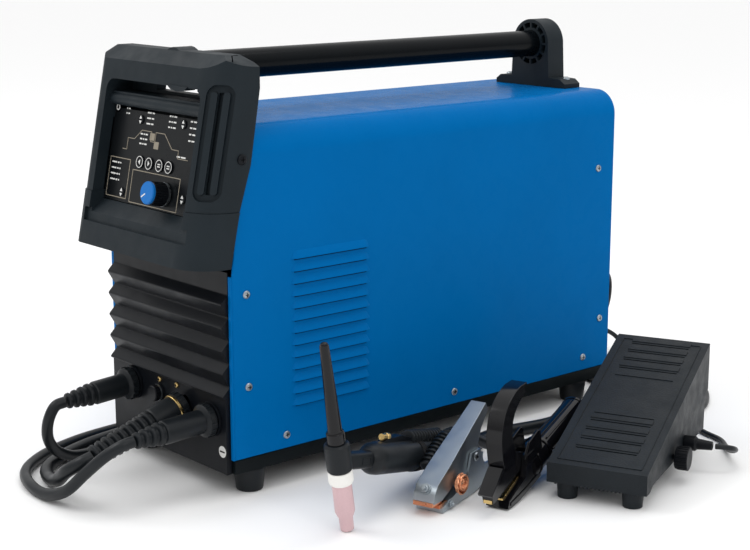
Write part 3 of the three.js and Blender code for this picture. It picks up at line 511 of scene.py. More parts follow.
def refined(node, made, width=0.5, segments=2, extra=(), where=None):
    """A CAD node's own shape with its edges rounded by that many millimetres, and any further parts."""
    bm = bmesh.new()
    bm.from_mesh(frame["nodes"][node].data)
    bmesh.ops.remove_doubles(bm, verts=bm.verts, dist=2e-6)
    flat = math.radians(1.0)
    bmesh.ops.dissolve_limit(
        bm, angle_limit=flat, verts=bm.verts, edges=bm.edges, use_dissolve_boundaries=False)
    if width:
        eased(bm, width / 1000, segments)
    bm.transform(MACHINE.inverted())
    body = frame["nodes"][node]["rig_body"]
    if where is not None:
        bm.transform(where.inverted())
    return piece(node + "_finished", [(bm, made), *extra], body, where, [node])


def screw(radius=4.2, height=1.9, made=ZINC):
    """A pan-head screw standing along +Z, and the cross in its head."""
    head = lathe([(0, -1), (radius, -1), (radius, 0.3 * height), (0.86 * radius, 0.75 * height),
                  (0.5 * radius, height), (0, height)], 24)
    bars = [block(size, (0, 0, height - 0.35)) for size in ((radius, 0.9, 0.9), (0.9, radius, 0.9))]
    return [(head, made), *((bar, SHADOW) for bar in bars)]


def hex_head(radius=5.0, height=3.6):
    """A hexagon head on a washer, standing along +Z."""
    corners = [(radius * math.cos(math.pi * i / 3), radius * math.sin(math.pi * i / 3)) for i in range(6)]
    washer = lathe([(0, -0.5), (radius + 1.2, -0.5), (radius + 1.2, 0.8), (0, 0.8)], 24)
    end = lathe([(0, height), (0.5 * radius, height), (0.42 * radius, height + 2.4), (0, height + 2.4)], 16)
    return [(eased(prism(corners, 0.8, height), 0.4), ZINC), (washer, ZINC), (end, ZINC)]


def around(count, part, made):
    """Copies of a part, made by a call, set evenly about Z."""
    return [(turned(part(), Matrix.Rotation(2 * math.pi * i / count, 4, "Z")), made) for i in range(count)]


def set_at(parts, matrix):
    """The same parts, moved."""
    return [(turned(bm, matrix), made) for bm, made in parts]


# ---- Leads ---------------------------------------------------------------------------------------
LEAD, TORCH_LEAD, PEDAL_LEAD = 12.0, 14.0, 6.0  # diameters
COIL_GAP = 0.3  # between the turns of a coil, and under it
TIE_HALF, TIE_CORNER = 9, 4.0

# Centre lines of the leads, in the machine's millimetres, with the same points as in the CAD.

EARTH_ROUTE = [
    (80, -379.6, 74.6), (78, -392, 72), (68, -404, 62), (48, -415, 42), (22, -424, 18), (-10, -428, 7),
    (-48, -425, 6), (-88, -408, 6), (-120, -372, 6), (-142, -318, 6), (-150, -268, 6), (-151, -210, 6),
    (-151, -120, 6), (-151, 0, 6), (-151, 120, 6), (-151, 220, 6), (-140, 290, 6), (-104, 324, 6),
    (-50, 333, 6), (20, 331, 6), (90, 323, 6), (135, 296, 6), (160, 250, 6), (172, 190, 6), (182, 130, 6),
    (194, 70, 7), (200, 20, 12), (203, -20, 26), (211, -58, 46), (224.3, -97.6, 54),
    (231.6, -121, 44.5), (236.7, -135.6, 34),
]
TORCH_ROUTE_IN = [
    (33, -398.9, 50.3), (31, -409, 47), (16, -418, 36), (-10, -414, 19), (-46, -404, 9), (-80, -387, 7),
    (-104, -354, 7), (-122, -310, 7), (-132, -262, 7), (-135, -225, 10), (-146, -190, 21), (-160, -155, 17),
    (-170, -130, 9), (-172.6, -117, 7.4),
]
TORCH_ROUTE_OUT = [
    (-173, -30, 79), (-170, -5, 66), (-160, 30, 44), (-147, 65, 26), (-138, 100, 12), (-135, 140, 7),
    (-135, 210, 7), (-126, 272, 7), (-98, 305, 7), (-50, 317, 7), (20, 315, 7), (84, 304, 7), (118, 276, 7),
    (138, 230, 7), (154, 170, 7), (158, 120, 7), (148, 66, 7), (150, 32, 8), (168, -8, 12), (182, -38, 17),
    (186.6, -50, 18.6),
]
ELECTRODE_ROUTE_IN = [
    (-64, -372.4, 80), (-65.6, -382, 77.4), (-69, -389, 63), (-73, -389, 44), (-79, -378, 26),
    (-87, -356, 12), (-96, -326, 6), (-107, -288, 6), (-117, -240, 6), (-120, -150, 6), (-120, -60, 6),
    (-123, -20, 9), (-135, 10, 21), (-155, 36, 21), (-172, 54, 9), (-178.6, 63, 6.4),
]
ELECTRODE_ROUTE_OUT = [
    (-178, 147, 31), (-173, 175, 20), (-168, 210, 9), (-166, 245, 6), (-158, 298, 6), (-122, 338, 6),
    (-60, 349, 6), (20, 348, 6), (100, 342, 6), (152, 316, 6), (178, 268, 6), (191, 222, 6), (200, 176, 8),
    (210, 144, 22), (222, 116, 42), (232, 92, 50.5),
]
PEDAL_ROUTE_IN = [
    (84, 288.4, 150), (84, 297, 149), (82, 310, 140), (72, 324, 114), (54, 336, 82), (32, 346, 52),
    (10, 355, 27), (-6, 363, 11), (-12, 368, 5.4), (-14, 373, 4),
]
PEDAL_ROUTE_OUT = [
    (-14, 417, 36), (-11, 432, 27), (2, 446, 10), (26, 452, 3), (70, 444, 3), (125, 422, 3), (178, 386, 3),
    (218, 338, 3), (240, 290, 3), (262, 256, 3), (290, 244, 3), (317, 236, 3), (338, 219, 4), (354, 203, 8),
    (369, 190, 14), (379.5, 179, 20), (383, 167, 25), (378, 157, 27.5), (373.4, 152.2, 28),
]
STEPS_PER_TURN = 32


def coil_turns(x, y, radius, diameter, turns):
    """A helix standing on the floor: it comes in at its +X side at the bottom and leaves there at the top."""
    pitch = diameter + COIL_GAP
    points = []
    for i in range(turns * STEPS_PER_TURN + 1):
        turn = i / STEPS_PER_TURN
        angle = 2 * math.pi * turn
        height = diameter / 2 + COIL_GAP + pitch * turn
        points.append((x + radius * math.cos(angle), y + radius * math.sin(angle), height))
    return points


def lead(name, points, diameter, nodes):
    data = bpy.data.curves.new(name, "CURVE")
    data.dimensions = "3D"
    data.bevel_depth = diameter / 2000
    data.bevel_resolution = 5
    data.use_fill_caps = True
    spline = data.splines.new("POLY")
    spline.points.add(len(points) - 1)
    line = [world(p) for p in points]
    for held, p in zip(spline.points, line):
        held.co = (*p, 1.0)
    spline.use_smooth = True
    obj = linked(name, data)
    data.materials.append(CABLE)
    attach(obj, "root")
    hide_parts(*nodes)


def coil_tie(name, x, y, radius, diameter, turns, angle):
    """A hook-and-loop strap round the turns of a coil."""
    high = (turns + 1) * (diameter + COIL_GAP)
    half = diameter / 2 + 1.2
    corner = TIE_CORNER
    section = []
    for cx, cz, start in ((half - corner, high + 1 - corner, 0), (corner - half, high + 1 - corner, 90),
                          (corner - half, corner - 0.4, 180), (half - corner, corner - 0.4, 270)):
        for step in range(5):
            a = math.radians(start + step * 22.5)
            section.append((cx + corner * math.cos(a), max(0.1, cz + corner * math.sin(a))))
    inner = [(px * (half - 1) / half, 1 + (pz - 0.5) * (high - 1) / (high + 1)) for px, pz in section]
    ways = ((section, -TIE_HALF), (section, TIE_HALF), (inner, TIE_HALF), (inner, -TIE_HALF))
    rings = [[(px, py, pz) for px, pz in outline] for outline, py in ways]
    band = loft([*rings, rings[0]], capped=False)
    bmesh.ops.remove_doubles(band, verts=band.verts, dist=1e-4)
    tab = eased(block((1.6, 18, 16), (half + 0.9, 0, high * 0.55)), 0.5)
    spot = placed(x, y, 0, turn_z=angle) @ Matrix.Translation((radius, 0, 0))
    return piece(name, [(band, STRAP), (tab, STRAP)], where=spot)


# Each coil's x, y, radius, diameter of lead and number of turns.
TORCH_COIL = (-245, -75, 72, TORCH_LEAD, 5)
ELECTRODE_COIL = (-245, 105, 66, LEAD, 2)
PEDAL_COIL = (-48, 395, 34, PEDAL_LEAD, 6)


def make_leads():
    torch_line = smoothed(TORCH_ROUTE_IN) + coil_turns(*TORCH_COIL)[1:] + smoothed(TORCH_ROUTE_OUT)
    electrode_line = (smoothed(ELECTRODE_ROUTE_IN) + coil_turns(*ELECTRODE_COIL)[1:]
                      + smoothed(ELECTRODE_ROUTE_OUT))
    pedal_line = smoothed(PEDAL_ROUTE_IN) + coil_turns(*PEDAL_COIL)[1:] + smoothed(PEDAL_ROUTE_OUT)
    ties = {
        "torch_lead": [coil_tie("torch_tie_" + s, *TORCH_COIL, a) for s, a in (("near", 2.2), ("far", 4.6))],
        "electrode_lead": [coil_tie("electrode_tie", *ELECTRODE_COIL, 3.1)],
        "pedal_lead": [coil_tie("pedal_tie", *PEDAL_COIL, 2.4)],
    }
    lead("earth_cable", smoothed(EARTH_ROUTE), LEAD, ["earth_lead"])
    lead("torch_cable", torch_line, TORCH_LEAD, ["torch_lead_front", "torch_lead_coil", "torch_lead_rear"])
    lead("electrode_cable", electrode_line, LEAD,
         ["electrode_lead_front", "electrode_lead_coil", "electrode_lead_rear"])
    lead("pedal_cable", pedal_line, PEDAL_LEAD, ["pedal_lead_machine", "pedal_lead_coil", "pedal_lead_pedal"])


# ---- Plugs ---------------------------------------------------------------------------------------
RIB_STEP = 8.0
PLUG_START = -290.3
PLUGS = {
    "earth_plug": dict(x=80, z=79, droop=0.05, sleeve=56, ribs=4, wide=12, narrow=8.4, collar=17, relief=2.0),
    "electrode_plug": dict(
        x=-64, z=86, droop=0.07, sleeve=48, ribs=4, wide=12, narrow=8.4, collar=17, relief=2.0),
    "torch_plug": dict(x=33, z=84, droop=0.3, sleeve=40, ribs=9, wide=14, narrow=11.5, collar=15, relief=3.6),
}


def plug_profile(sleeve, ribs, wide, narrow, collar, relief):
    """A collar, a smooth sleeve, and a bend relief of raised rings that gets thinner towards the lead."""
    profile = [(0, 0.3), (collar - 1, 0.3), (collar, 1.3), (collar, 8), (collar - 1.4, 9.4), (wide + 0.4, 11),
               (wide + 0.4, sleeve - 2), (wide - 0.8, sleeve)]
    for i in range(ribs):
        radius = wide + (narrow - wide) * i / max(1, ribs - 1)
        start = sleeve + i * RIB_STEP
        profile += [(radius - relief, start + 0.4), (radius - relief, start + 3.4),
                    (radius - 0.5, start + 3.8), (radius, start + 4.6), (radius - 0.3, start + 6.8),
                    (radius - 1.2, start + 7.6)]
    end = sleeve + ribs * RIB_STEP
    return [*profile, (narrow - 2.0, end), (0, end)]


def make_plug(name, spec):
    sizes = ("sleeve", "ribs", "wide", "narrow", "collar", "relief")
    body = lathe(plug_profile(*(spec[k] for k in sizes)), 40)
    grips = around(16, lambda: eased(block((1.6, 2.4, 6), (spec["collar"], 0, 4.8)), 0.4), RUBBER)
    if name == "torch_plug":
        outline = [(12, 9.2), (15.2, 9.2), (15.6, 9.8), (15.6, 11.6), (15.2, 12.2), (12, 12.2), (12, 9.2)]
        ring = lathe(outline, 40)
        grips.append((ring, BRASS))
    where = placed(spec["x"], PLUG_START, spec["z"], turn_x=math.pi / 2 + spec["droop"])
    piece(name + "_finished", [(body, RUBBER), *grips], where=where, replaces=[name])


def make_plugs():
    for name, spec in PLUGS.items():
        make_plug(name, spec)
    body = lathe([(0, 0), (8, 0), (8, 6.8), (11, 6.8), (11.4, 8), (11.4, 11), (10.6, 12), (7, 13.6), (5, 14),
                  (4, 16.6), (0, 16.6)], 32)
    where = placed(84, 271, 150, turn_x=-math.pi / 2)
    piece("pedal_plug_finished", [(body, MOULDED)], where=where,
                                     replaces=["pedal_plug"])


# ---- Cover ---------------------------------------------------------------------------------------
COVER_HALF, COVER_BOTTOM, COVER_TOP, COVER_REAR = 110.0, 40.0, 374.0, 280.0
FOLD_RADIUS, FOLD_STEPS = 28.0, 14
FRONT_EDGE = [(40, -280), (229, -280), (289, -272), (338, -256.6), (412, -244)]
LOUVRES, LOUVRE_PITCH, LOUVRE_LOW, LOUVRE_Y, LOUVRE_HALF = 13, 12.8, 84.0, -155.0, 52.0
LOUVRE_STEPS, LOUVRE_END = 28, 9  # sections along a louvre, and the length of its rounded end


def front_edge(z):
    """Where the cover's front edge is at a height."""
    for (z0, y0), (z1, y1) in zip(FRONT_EDGE, FRONT_EDGE[1:]):
        if z <= z1:
            return y0 + (y1 - y0) * (z - z0) / (z1 - z0)
    return FRONT_EDGE[-1][1]


def cover_section():
    """The cover's outline in X and Z, up the right side, over the top and down the left."""
    side = [(COVER_HALF, z) for z in (COVER_BOTTOM, 229, 289, 338)]
    fold = []
    for i in range(FOLD_STEPS + 1):
        a = math.radians(90 * i / FOLD_STEPS)
        fold.append((COVER_HALF - FOLD_RADIUS * (1 - math.cos(a)),
                     COVER_TOP - FOLD_RADIUS * (1 - math.sin(a))))
    right = side + fold
    return right + [(-x, z) for x, z in reversed(right)]


def louvre_hood(side, z):
    """One pressed louvre: rounded ends, a lip along its lower edge and darkness under the lip."""
    rings = []
    for i in range(LOUVRE_STEPS + 1):
        u = -LOUVRE_HALF + 2 * LOUVRE_HALF * i / LOUVRE_STEPS
        end = max(0.0, abs(u) - (LOUVRE_HALF - LOUVRE_END)) / LOUVRE_END
        rise = math.sqrt(max(0.004, 1 - end * end))
        high = 3.4 * rise
        top = z + 0.4 + 7.4 * rise
        lip = z - 0.4
        middle = lip + (top - lip) * 0.5
        section = [(-0.8, top + 0.3), (0.05, top), (0.42 * high, middle + 1.2 * rise),
                   (0.85 * high, middle - 1.6 * rise), (high, lip + 0.7 * rise), (high, lip),
                   (high - 0.7 * rise, lip - 0.1), (-0.8, lip + 0.9)]
        rings.append([(side * (COVER_HALF + x), LOUVRE_Y + u, height) for x, height in section])
    return loft(rings)


def make_cover():
    section = cover_section()
    bm = loft([[(x, front_edge(z), z) for x, z in section], [(x, COVER_REAR, z) for x, z in section]],
              closed=False, capped=False)
    for face in bm.faces:
        outward = Vector((face.calc_center_median().x, 0, face.calc_center_median().z - 200))
        if face.normal.dot(outward) < 0:
            face.normal_flip()
    cover = piece("cover", [(bm, COVER_BLUE)], replaces=["top_cover"], sharp=50)
    thick = cover.modifiers.new("sheet", "SOLIDIFY")
    thick.thickness = 0.002
    thick.offset = -1
    soft = cover.modifiers.new("edges", "BEVEL")
    soft.width = 0.0006
    soft.segments = 2
    cover.modifiers.move(0, 2)
    heights = [LOUVRE_LOW + i * LOUVRE_PITCH for i in range(LOUVRES)]
    hoods = [(louvre_hood(side, z), COVER_BLUE) for side in (1, -1) for z in heights]
    slot = (2.4, 2 * LOUVRE_HALF - 8, 2.0)
    slots = [(eased(block(slot, (side * (COVER_HALF - 1.0), LOUVRE_Y, z - 1.2)), 0.4), SHADOW)
             for side in (1, -1) for z in heights]
    flanges = [(eased(block((4.7, 2, 189), (side * 107.65, -281, 134.5)), 0.5), COVER_BLUE)
               for side in (1, -1)]
    piece("cover_louvres", hoods + slots + flanges, sharp=55)


# Each screw's y and z, the same on both sides.
SIDE_SCREWS = [(-263, 209), (-262, 114), (-215, 54), (22, 54), (235, 56), (263, 100), (253, 284)]


def make_cover_screws():
    parts = []
    for side in (1, -1):
        for y, z in SIDE_SCREWS:
            lie = Matrix.Translation((side * COVER_HALF, y, z)) @ Matrix.Rotation(side * math.pi / 2, 4, "Y")
            parts += set_at(screw(), lie)
    piece("cover_screws", parts)


# ---- Front ---------------------------------------------------------------------------------------
def on_front(parts, x, z):
    """Parts that stand along +Z, set on the lower front panel."""
    return set_at(parts, placed(x, -287, z, turn_x=math.pi / 2))


def make_front():
    extra = on_front(screw(3.2, 1.8, BRASS), 18.5, 100.5) + on_front(screw(3.2, 1.8, BRASS), -13.4, 100.0)
    disc = lathe([(0, -0.2), (6, -0.2), (6, 0.35), (0, 0.35)], 32)
    extra += on_front([(disc, WHITE_PRINT), (block((8, 1.5, 0.3), (0, 0, 0.4)), SHADOW)], 98.0, 48.3)
    extra += on_front(control_socket(), -14, 86)
    refined("front_panel", MOULDED, 0.9, extra=extra)
    for name in ("earth_socket", "electrode_socket"):
        refined(name, MOULDED, 0.5)
    recess = [(bm, MOULDED if made is ZINC else made) for bm, made in screw(5.2, 1.5)]
    lie = Matrix.Translation((BEZEL_SIDE, -267, 344)) @ Matrix.Rotation(math.pi / 2, 4, "Y")
    seam = strap([(-266.4, 430.8), (-268.2, 443.2), (-262, 443.2)], 0.7, 0.5)
    details = set_at(recess, lie) + [(turned(seam, placed(101)), SHADOW)]
    refined("bezel_upper", CHARCOAL, 1.8, 3, extra=details)
    refined("bezel_lower", CHARCOAL, 1.8, 3)


def control_socket():
    """The round multi-pin socket for the torch switch, closed by its ribbed cap."""
    shell = lathe([(0, -4), (6.6, -4), (6.6, 0), (9.6, 0), (9.6, 2.2), (8.2, 2.6), (8.2, 9.4), (7.4, 10.4),
                   (0, 10.4)], 36)
    rim = lathe([(8.0, 2.7), (8.9, 2.7), (8.9, 3.9), (8.0, 3.9), (8.0, 2.7)], 36)
    ribs = around(18, lambda: eased(block((1.0, 1.2, 4.6), (8.3, 0, 6.9)), 0.3), MOULDED)
    return [(shell, MOULDED), (rim, ZINC), *ribs]


PRINT_LINE = 0.9
# Each legend's rows, left edge, height on the machine, step between rows, and widths of its dashes.
LEGENDS = [
    (4, -86, 323, 6.0, (9, 3, 2)), (3, -72, 384, 5.0, (2, 3)), (3, -32, 378, 5.6, (7, 4)),
    (3, 8, 378, 5.6, (3, 2, 5)), (4, 46, 376, 6.4, (4, 6)), (3, -40, 356, 5.0, (4, 2, 4)),
    (1, 30, 340, 5.0, (6, 8)),
]


def bar(x, z, width, height, made=WHITE_PRINT):
    """A printed mark on the control panel, in the panel's own frame."""
    return block((width, 0.24, height), (x, -0.1, z)), made


def frame_of(x0, z0, x1, z1):
    """A printed rectangle's four lines."""
    middle_x, middle_z = (x0 + x1) / 2, (z0 + z1) / 2
    level = [bar(middle_x, z, x1 - x0, PRINT_LINE, BEIGE_PRINT) for z in (z0, z1)]
    return level + [bar(x, middle_z, PRINT_LINE, z1 - z0, BEIGE_PRINT) for x in (x0, x1)]


def up_down(x, z):
    """A pair of printed arrowheads, one up and one down."""
    marks = []
    for way in (1, -1):
        outline = [(x - 2.2, z + way * 1.0), (x + 2.2, z + way * 1.0), (x, z + way * 4.4)]
        marks.append((lengthwise(outline, -1.55, -1.2), WHITE_PRINT))
    return marks


def on_panel(z):
    """A height on the machine as a height in the leaning panel's own frame."""
    return (z - 300) / math.cos(LEAN_ANGLE)


def legend(rows, x, z, step, widths):
    """Rows of short dashes in place of a printed legend."""
    marks = []
    for row in range(rows):
        left = x
        for width in widths:
            marks.append(bar(left + width / 2, z - row * step, width, 1.5))
            left += width + 1.6
    return marks


def make_panel():
    refined("control_panel", FILM, 0.2, 1)
    marks = frame_of(-90, on_panel(288), -52, on_panel(328)) + frame_of(-45, on_panel(286), 42, on_panel(319))
    for rows, x, z, step, widths in LEGENDS:
        marks += legend(rows, x, on_panel(z), step, widths)
    disc = [(0, 0), (5.4, 0), (5.4, 0.5), (0, 0.5)]
    ring = [(2, 0.4), (3.4, 0.4), (3.4, 0.8), (2, 0.8), (2, 0.4)]
    badge = [turned(lathe(outline, 32), placed(-88, -0.1, on_panel(379), turn_x=math.pi / 2))
             for outline in (disc, ring)]
    marks += [(badge[0], GLOSS_BLACK), (badge[1], WHITE_PRINT)]
    piece("panel_print", marks, where=PANEL)
    make_weld_diagram()
    for name in ("select_process", "select_output", "select_trigger", "select_spot"):
        make_arrow_button(name)
    for name in ("button_left", "button_right", "button_mode", "button_save"):
        make_round_button(name)
    make_knob()


def make_weld_diagram():
    """The printed curve of welding current against time."""
    heights = [(-70, 0), (-62, 0), (-62, 12), (-50, 12), (-38, 22), (-20, 22), (-20, 12), (-12, 12),
               (-12, 22), (4, 22), (20, 8), (32, 8), (32, 0), (50, 0)]
    base = on_panel(338)
    parts = []
    for (x0, z0), (x1, z1) in zip(heights, heights[1:]):
        parts.append((tube([(x0, -0.1, base + z0), (x1, -0.1, base + z1)], 0.45, 6), BEIGE_PRINT))
    squares = [bar(-18 + 9 * i, base + 17 - 8 * i, 8.5, 7.5, BEIGE_PRINT) for i in range(2)]
    piece("panel_diagram", parts + squares, where=PANEL)


def button_place(name):
    """Where a button is on the panel, as x and z in the panel's frame."""
    low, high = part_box(name)
    centre = (MACHINE @ PANEL).inverted() @ ((low + high) / 2)
    return centre.x, centre.z


def make_arrow_button(name):
    x, z = button_place(name)
    refined(name, MOULDED, 0.3, extra=up_down(x, z), where=PANEL)


def make_round_button(name):
    x, z = button_place(name)
    ring = lathe([(5.4, 0), (6.1, 0), (6.1, 0.3), (5.4, 0.3), (5.4, 0)], 32)
    place = Matrix.Translation((x, -1.55, z)) @ Matrix.Rotation(math.pi / 2, 4, "X")
    marks = [(turned(ring, place), WHITE_PRINT)]
    if name in ("button_left", "button_right"):
        way = -1 if name == "button_left" else 1
        outline = [(x - way * 1.3, z - 2.8), (x - way * 1.3, z + 2.8), (x + way * 2.0, z)]
        marks.append((lengthwise(outline, -1.85, -1.5), WHITE_PRINT))
    else:
        for drop in (1.2, -1.2):
            marks.append((block((5.0, 0.3, 1.1), (x, -1.7, z + drop)), WHITE_PRINT))
    refined(name, MOULDED, 0.3, extra=marks, where=PANEL)


def make_knob():
    x, z = 19.5, on_panel(301)
    skirt = lathe([(0, 1.5), (12.4, 1.5), (12.4, 3.4), (11.6, 3.8), (11.6, 18.6), (10.8, 19.2),
                   (0, 19.2)], 48)
    ring = lathe([(11.4, 1.6), (12.4, 1.6), (12.4, 3.8), (11.4, 3.8), (11.4, 1.6)], 48)
    cap = lathe([(0, 19.2), (11.3, 19.2), (11.6, 19.8), (11.6, 21.8), (10.8, 22.9), (0, 22.9)], 48)
    shaft = lathe([(0, -12), (3, -12), (3, 2), (0, 2)], 24)
    ribs = around(28, lambda: eased(block((1.1, 1.0, 14), (11.7, 0, 11.2)), 0.3), MOULDED)
    pointer = turned(block((1.3, 7.5, 0.5), (0, -6, 22.9)), Matrix.Rotation(-1.0, 4, "Z"))
    parts = [(cap, KNOB_BLUE), (skirt, MOULDED), (ring, ZINC), (shaft, ZINC), (pointer, WHITE_PRINT), *ribs]
    where = PANEL @ placed(x, 0, z, turn_x=math.pi / 2)
    piece("knob", parts, "encoder_knob", where, ["encoder_knob"])


# ---- Handle --------------------------------------------------------------------------------------
HANDLE_Z, HANDLE_RADIUS, HANDLE_HALF = 425.0, 15.5, 255.0
BRACKET_TOP = 384.6  # the top of the rear bracket's two lugs


def make_handle():
    r, h = HANDLE_RADIUS, HANDLE_HALF
    profile = [(r - 2, -h), (r - 0.6, -h), (r, 0.8 - h), (r, h - 0.8), (r - 0.6, h), (r - 2, h), (r - 2, -h)]
    bar_part = lathe(profile, 72)
    piece("handle", [(bar_part, HANDLE_PAINT)], where=placed(0, 0, HANDLE_Z, turn_x=math.pi / 2),
          replaces=["handle_tube"])
    screws = []
    for x in (-47, 47):
        screws += set_at(screw(4.6, 2.2), placed(x, 262, BRACKET_TOP))
    refined("handle_bracket_rear", CHARCOAL, 0.9, 2, extra=screws)


# ---- Rear, underside and inside ------------------------------------------------------------------
# CAD nodes that keep their own shape: material, and the width that their edges are rounded by.
OUTSIDE = [
    ("rear_panel", BLACK_STEEL, 0.6), ("fan_frame", MOULDED, 0.8), ("fan_rotor", MOULDED, 0.4),
    ("mains_gland", MOULDED, 0.6), ("gas_inlet", BRASS, 0.4), ("mains_rocker", RED, 0.8),
    ("base_tray", BLACK_STEEL, 0.8),
]
INSIDE = [
    ("heatsink", ALUMINIUM, 0.3), ("main_board", BOARD, 0.3), ("transformer", WINDING, 0.6),
    ("gas_valve", BRASS, 0.6),
]


def make_rear():
    for node, made, width in OUTSIDE:
        refined(node, made, width)
    for foot in ("foot_front_right", "foot_front_left", "foot_rear_right", "foot_rear_left"):
        refined(foot, RUBBER, 1.2, 3)
    make_fan_guard()
    for node, made, width in INSIDE:
        refined(node, made, width)


def make_fan_guard():
    """A wire guard of rings and spokes over the fan's opening."""
    x, z, y = -25.0, 235.0, 278.6
    parts = []
    for radius in (12, 22, 32, 42, 52):
        turns = [2 * math.pi * i / 48 for i in range(49)]
        ring = [(x + radius * math.cos(a), y, z + radius * math.sin(a)) for a in turns]
        parts.append((tube(ring, 1.0, 8), ZINC))
    for i in range(4):
        a = math.pi / 4 + math.pi / 2 * i
        spoke = [(x + r * math.cos(a), y - 0.9, z + r * math.sin(a)) for r in (11, 40, 66)]
        parts.append((tube(spoke, 1.3, 8), ZINC))
    piece("fan_guard", parts)


# ---- Accessories ---------------------------------------------------------------------------------
def make_torch():
    refined("gas_nozzle", CERAMIC, 0.5)
    refined("insulator_ring", INSULATOR, 0.7)
    refined("back_cap", GLOSS_BLACK, 0.5)
    make_torch_body()
    tip = turned(lathe([(0, 0), (3.4, 0.4), (3.4, 8), (4.1, 8.6), (4.1, 12), (3.2, 13), (0, 13)], 24),
                 placed(0, 73, 20.5, turn_x=-math.pi / 2))
    refined("torch_trigger", MOULDED, 0.8, extra=[(tip, BRASS)], where=TORCH_HANDLE)


def make_torch_body():
    """The head, the flat neck, the grip with its shoulder, and the strapped sleeve of the switch lead."""
    head = lathe([(0, 64.3), (11.4, 64.3), (12.2, 65.2), (12.6, 86), (12.2, 91), (10.4, 93.2), (0, 93.2)], 48)
    turned(head, TORCH_HANDLE.inverted() @ TORCH)
    neck = eased(block((15.5, 60, 16), (0, 34, 0)), 3.4, 4)
    window = [block((0.7, 14, 0.9), (7.7, 38, z)) for z in (-3, 3)]
    window += [block((0.7, 0.9, 6.9), (7.7, y, 0)) for y in (31, 45)]
    grip = turned(lathe([(0, 50), (9, 50.4), (13, 53.4), (15.6, 59), (16.4, 67), (16.4, 150), (16, 170),
                         (14, 205), (12.6, 213.6), (11, 215), (0, 215)], 48), placed(turn_x=-math.pi / 2))
    sleeve = ribbed([(0, 124, 17.2), (0, 190, 17.6)], 6.2, 8.6, 5.5)
    straps = [turned(lathe([(15.8, y), (17.1, y), (17.1, y + 9), (15.8, y + 9), (15.8, y)], 48),
                     placed(turn_x=-math.pi / 2)) for y in (134, 172)]
    parts = [(bm, RUBBER) for bm in (head, neck, grip, sleeve, *window)] + [(bm, STRAP) for bm in straps]
    piece("torch_body_finished", parts, where=TORCH_HANDLE, replaces=["torch_body"])


BRAID_STEPS, BRAID_STRANDS = 144, 4
SPRING_STEPS, SPRING_TURNS = 144, 6


def braided_coil(x, y, z, radius):
    """A hank of loose copper braid wound about X."""
    parts = []
    for strand in range(BRAID_STRANDS):
        points = []
        for i in range(BRAID_STEPS + 1):
            t = i / BRAID_STEPS
            a = 2 * math.pi * (4.2 * t + strand / BRAID_STRANDS)
            r = 1.8 + (radius - 1.8) * math.sqrt(t) + 0.5 * math.sin(29 * t + 2 * strand)
            bulge = 3.0 * math.sqrt(max(0.0, 1 - (r / (radius + 1)) ** 2)) + 0.6
            sway = bulge * math.sin(37 * t + 1.6 * strand)
            points.append((x + sway, y + r * math.cos(a), z + r * math.sin(a)))
        parts.append((tube(points, 0.75, 8), COPPER))
    return parts


def pivot_spring(y, z, radius, half):
    """A coil spring round a pivot that runs along X."""
    points = []
    for i in range(SPRING_STEPS + 1):
        a = 2 * math.pi * SPRING_TURNS * i / SPRING_STEPS
        points.append((half * (2 * i / SPRING_STEPS - 1), y + radius * math.cos(a), z + radius * math.sin(a)))
    return tube(points, 0.9, 8), ZINC


def rivet(x, y, z, radius=4.6):
    """A domed rivet head standing outwards along X."""
    head = lathe([(0, -0.6), (radius, -0.6), (radius, 0.4), (0.8 * radius, 1.5), (0.4 * radius, 2.1),
                  (0, 2.2)], 24)
    hole = lathe([(0, 2.0), (1.5, 2.0), (1.5, 2.3), (0, 2.3)], 16)
    lie = Matrix.Translation((x, y, z)) @ Matrix.Rotation(math.copysign(math.pi / 2, x), 4, "Y")
    return set_at([(head, ZINC), (hole, SHADOW)], lie)


def toothed(outline, half, y, heights):
    """A copper jaw piece with ridges across its front."""
    parts = [(eased(crosswise(outline, -half, half), 0.25), COPPER)]
    for z in heights:
        parts.append((tube([(-half + 0.3, y, z), (half - 0.3, y, z)], 0.55, 8), COPPER))
    return parts


def make_clamp():
    extra = rivet(12.6, 72, 38) + rivet(-12.6, 72, 38) + braided_coil(17.2, 34, 21.5, 10.4)
    extra += toothed([(-1.6, 4.6), (12, 8.6), (12, 10.0), (-1.6, 8.6)], 12.6, -1.7, (5.3, 6.6, 7.9))
    extra.append(pivot_spring(72, 38, 5.6, 8.4))
    nut = placed(14.4, 15, 6) @ Matrix.Rotation(math.pi / 2, 4, "Y")
    extra += set_at(hex_head(3.8, 3.4), nut)
    refined("clamp_lower", ZINC, 0.5, extra=extra, where=CLAMP)
    extra = toothed([(-13.4, 9.2), (5, 9.4), (5, 12.6), (-13.4, 13.4)], 11.0, -13.5, (9.8, 11.1, 12.4))
    extra += set_at(hex_head(4.6, 3.4), placed(0, -7.6, 25.2, turn_x=0.96))
    refined("clamp_upper", ZINC, 0.5, extra=extra, where=CLAMP)


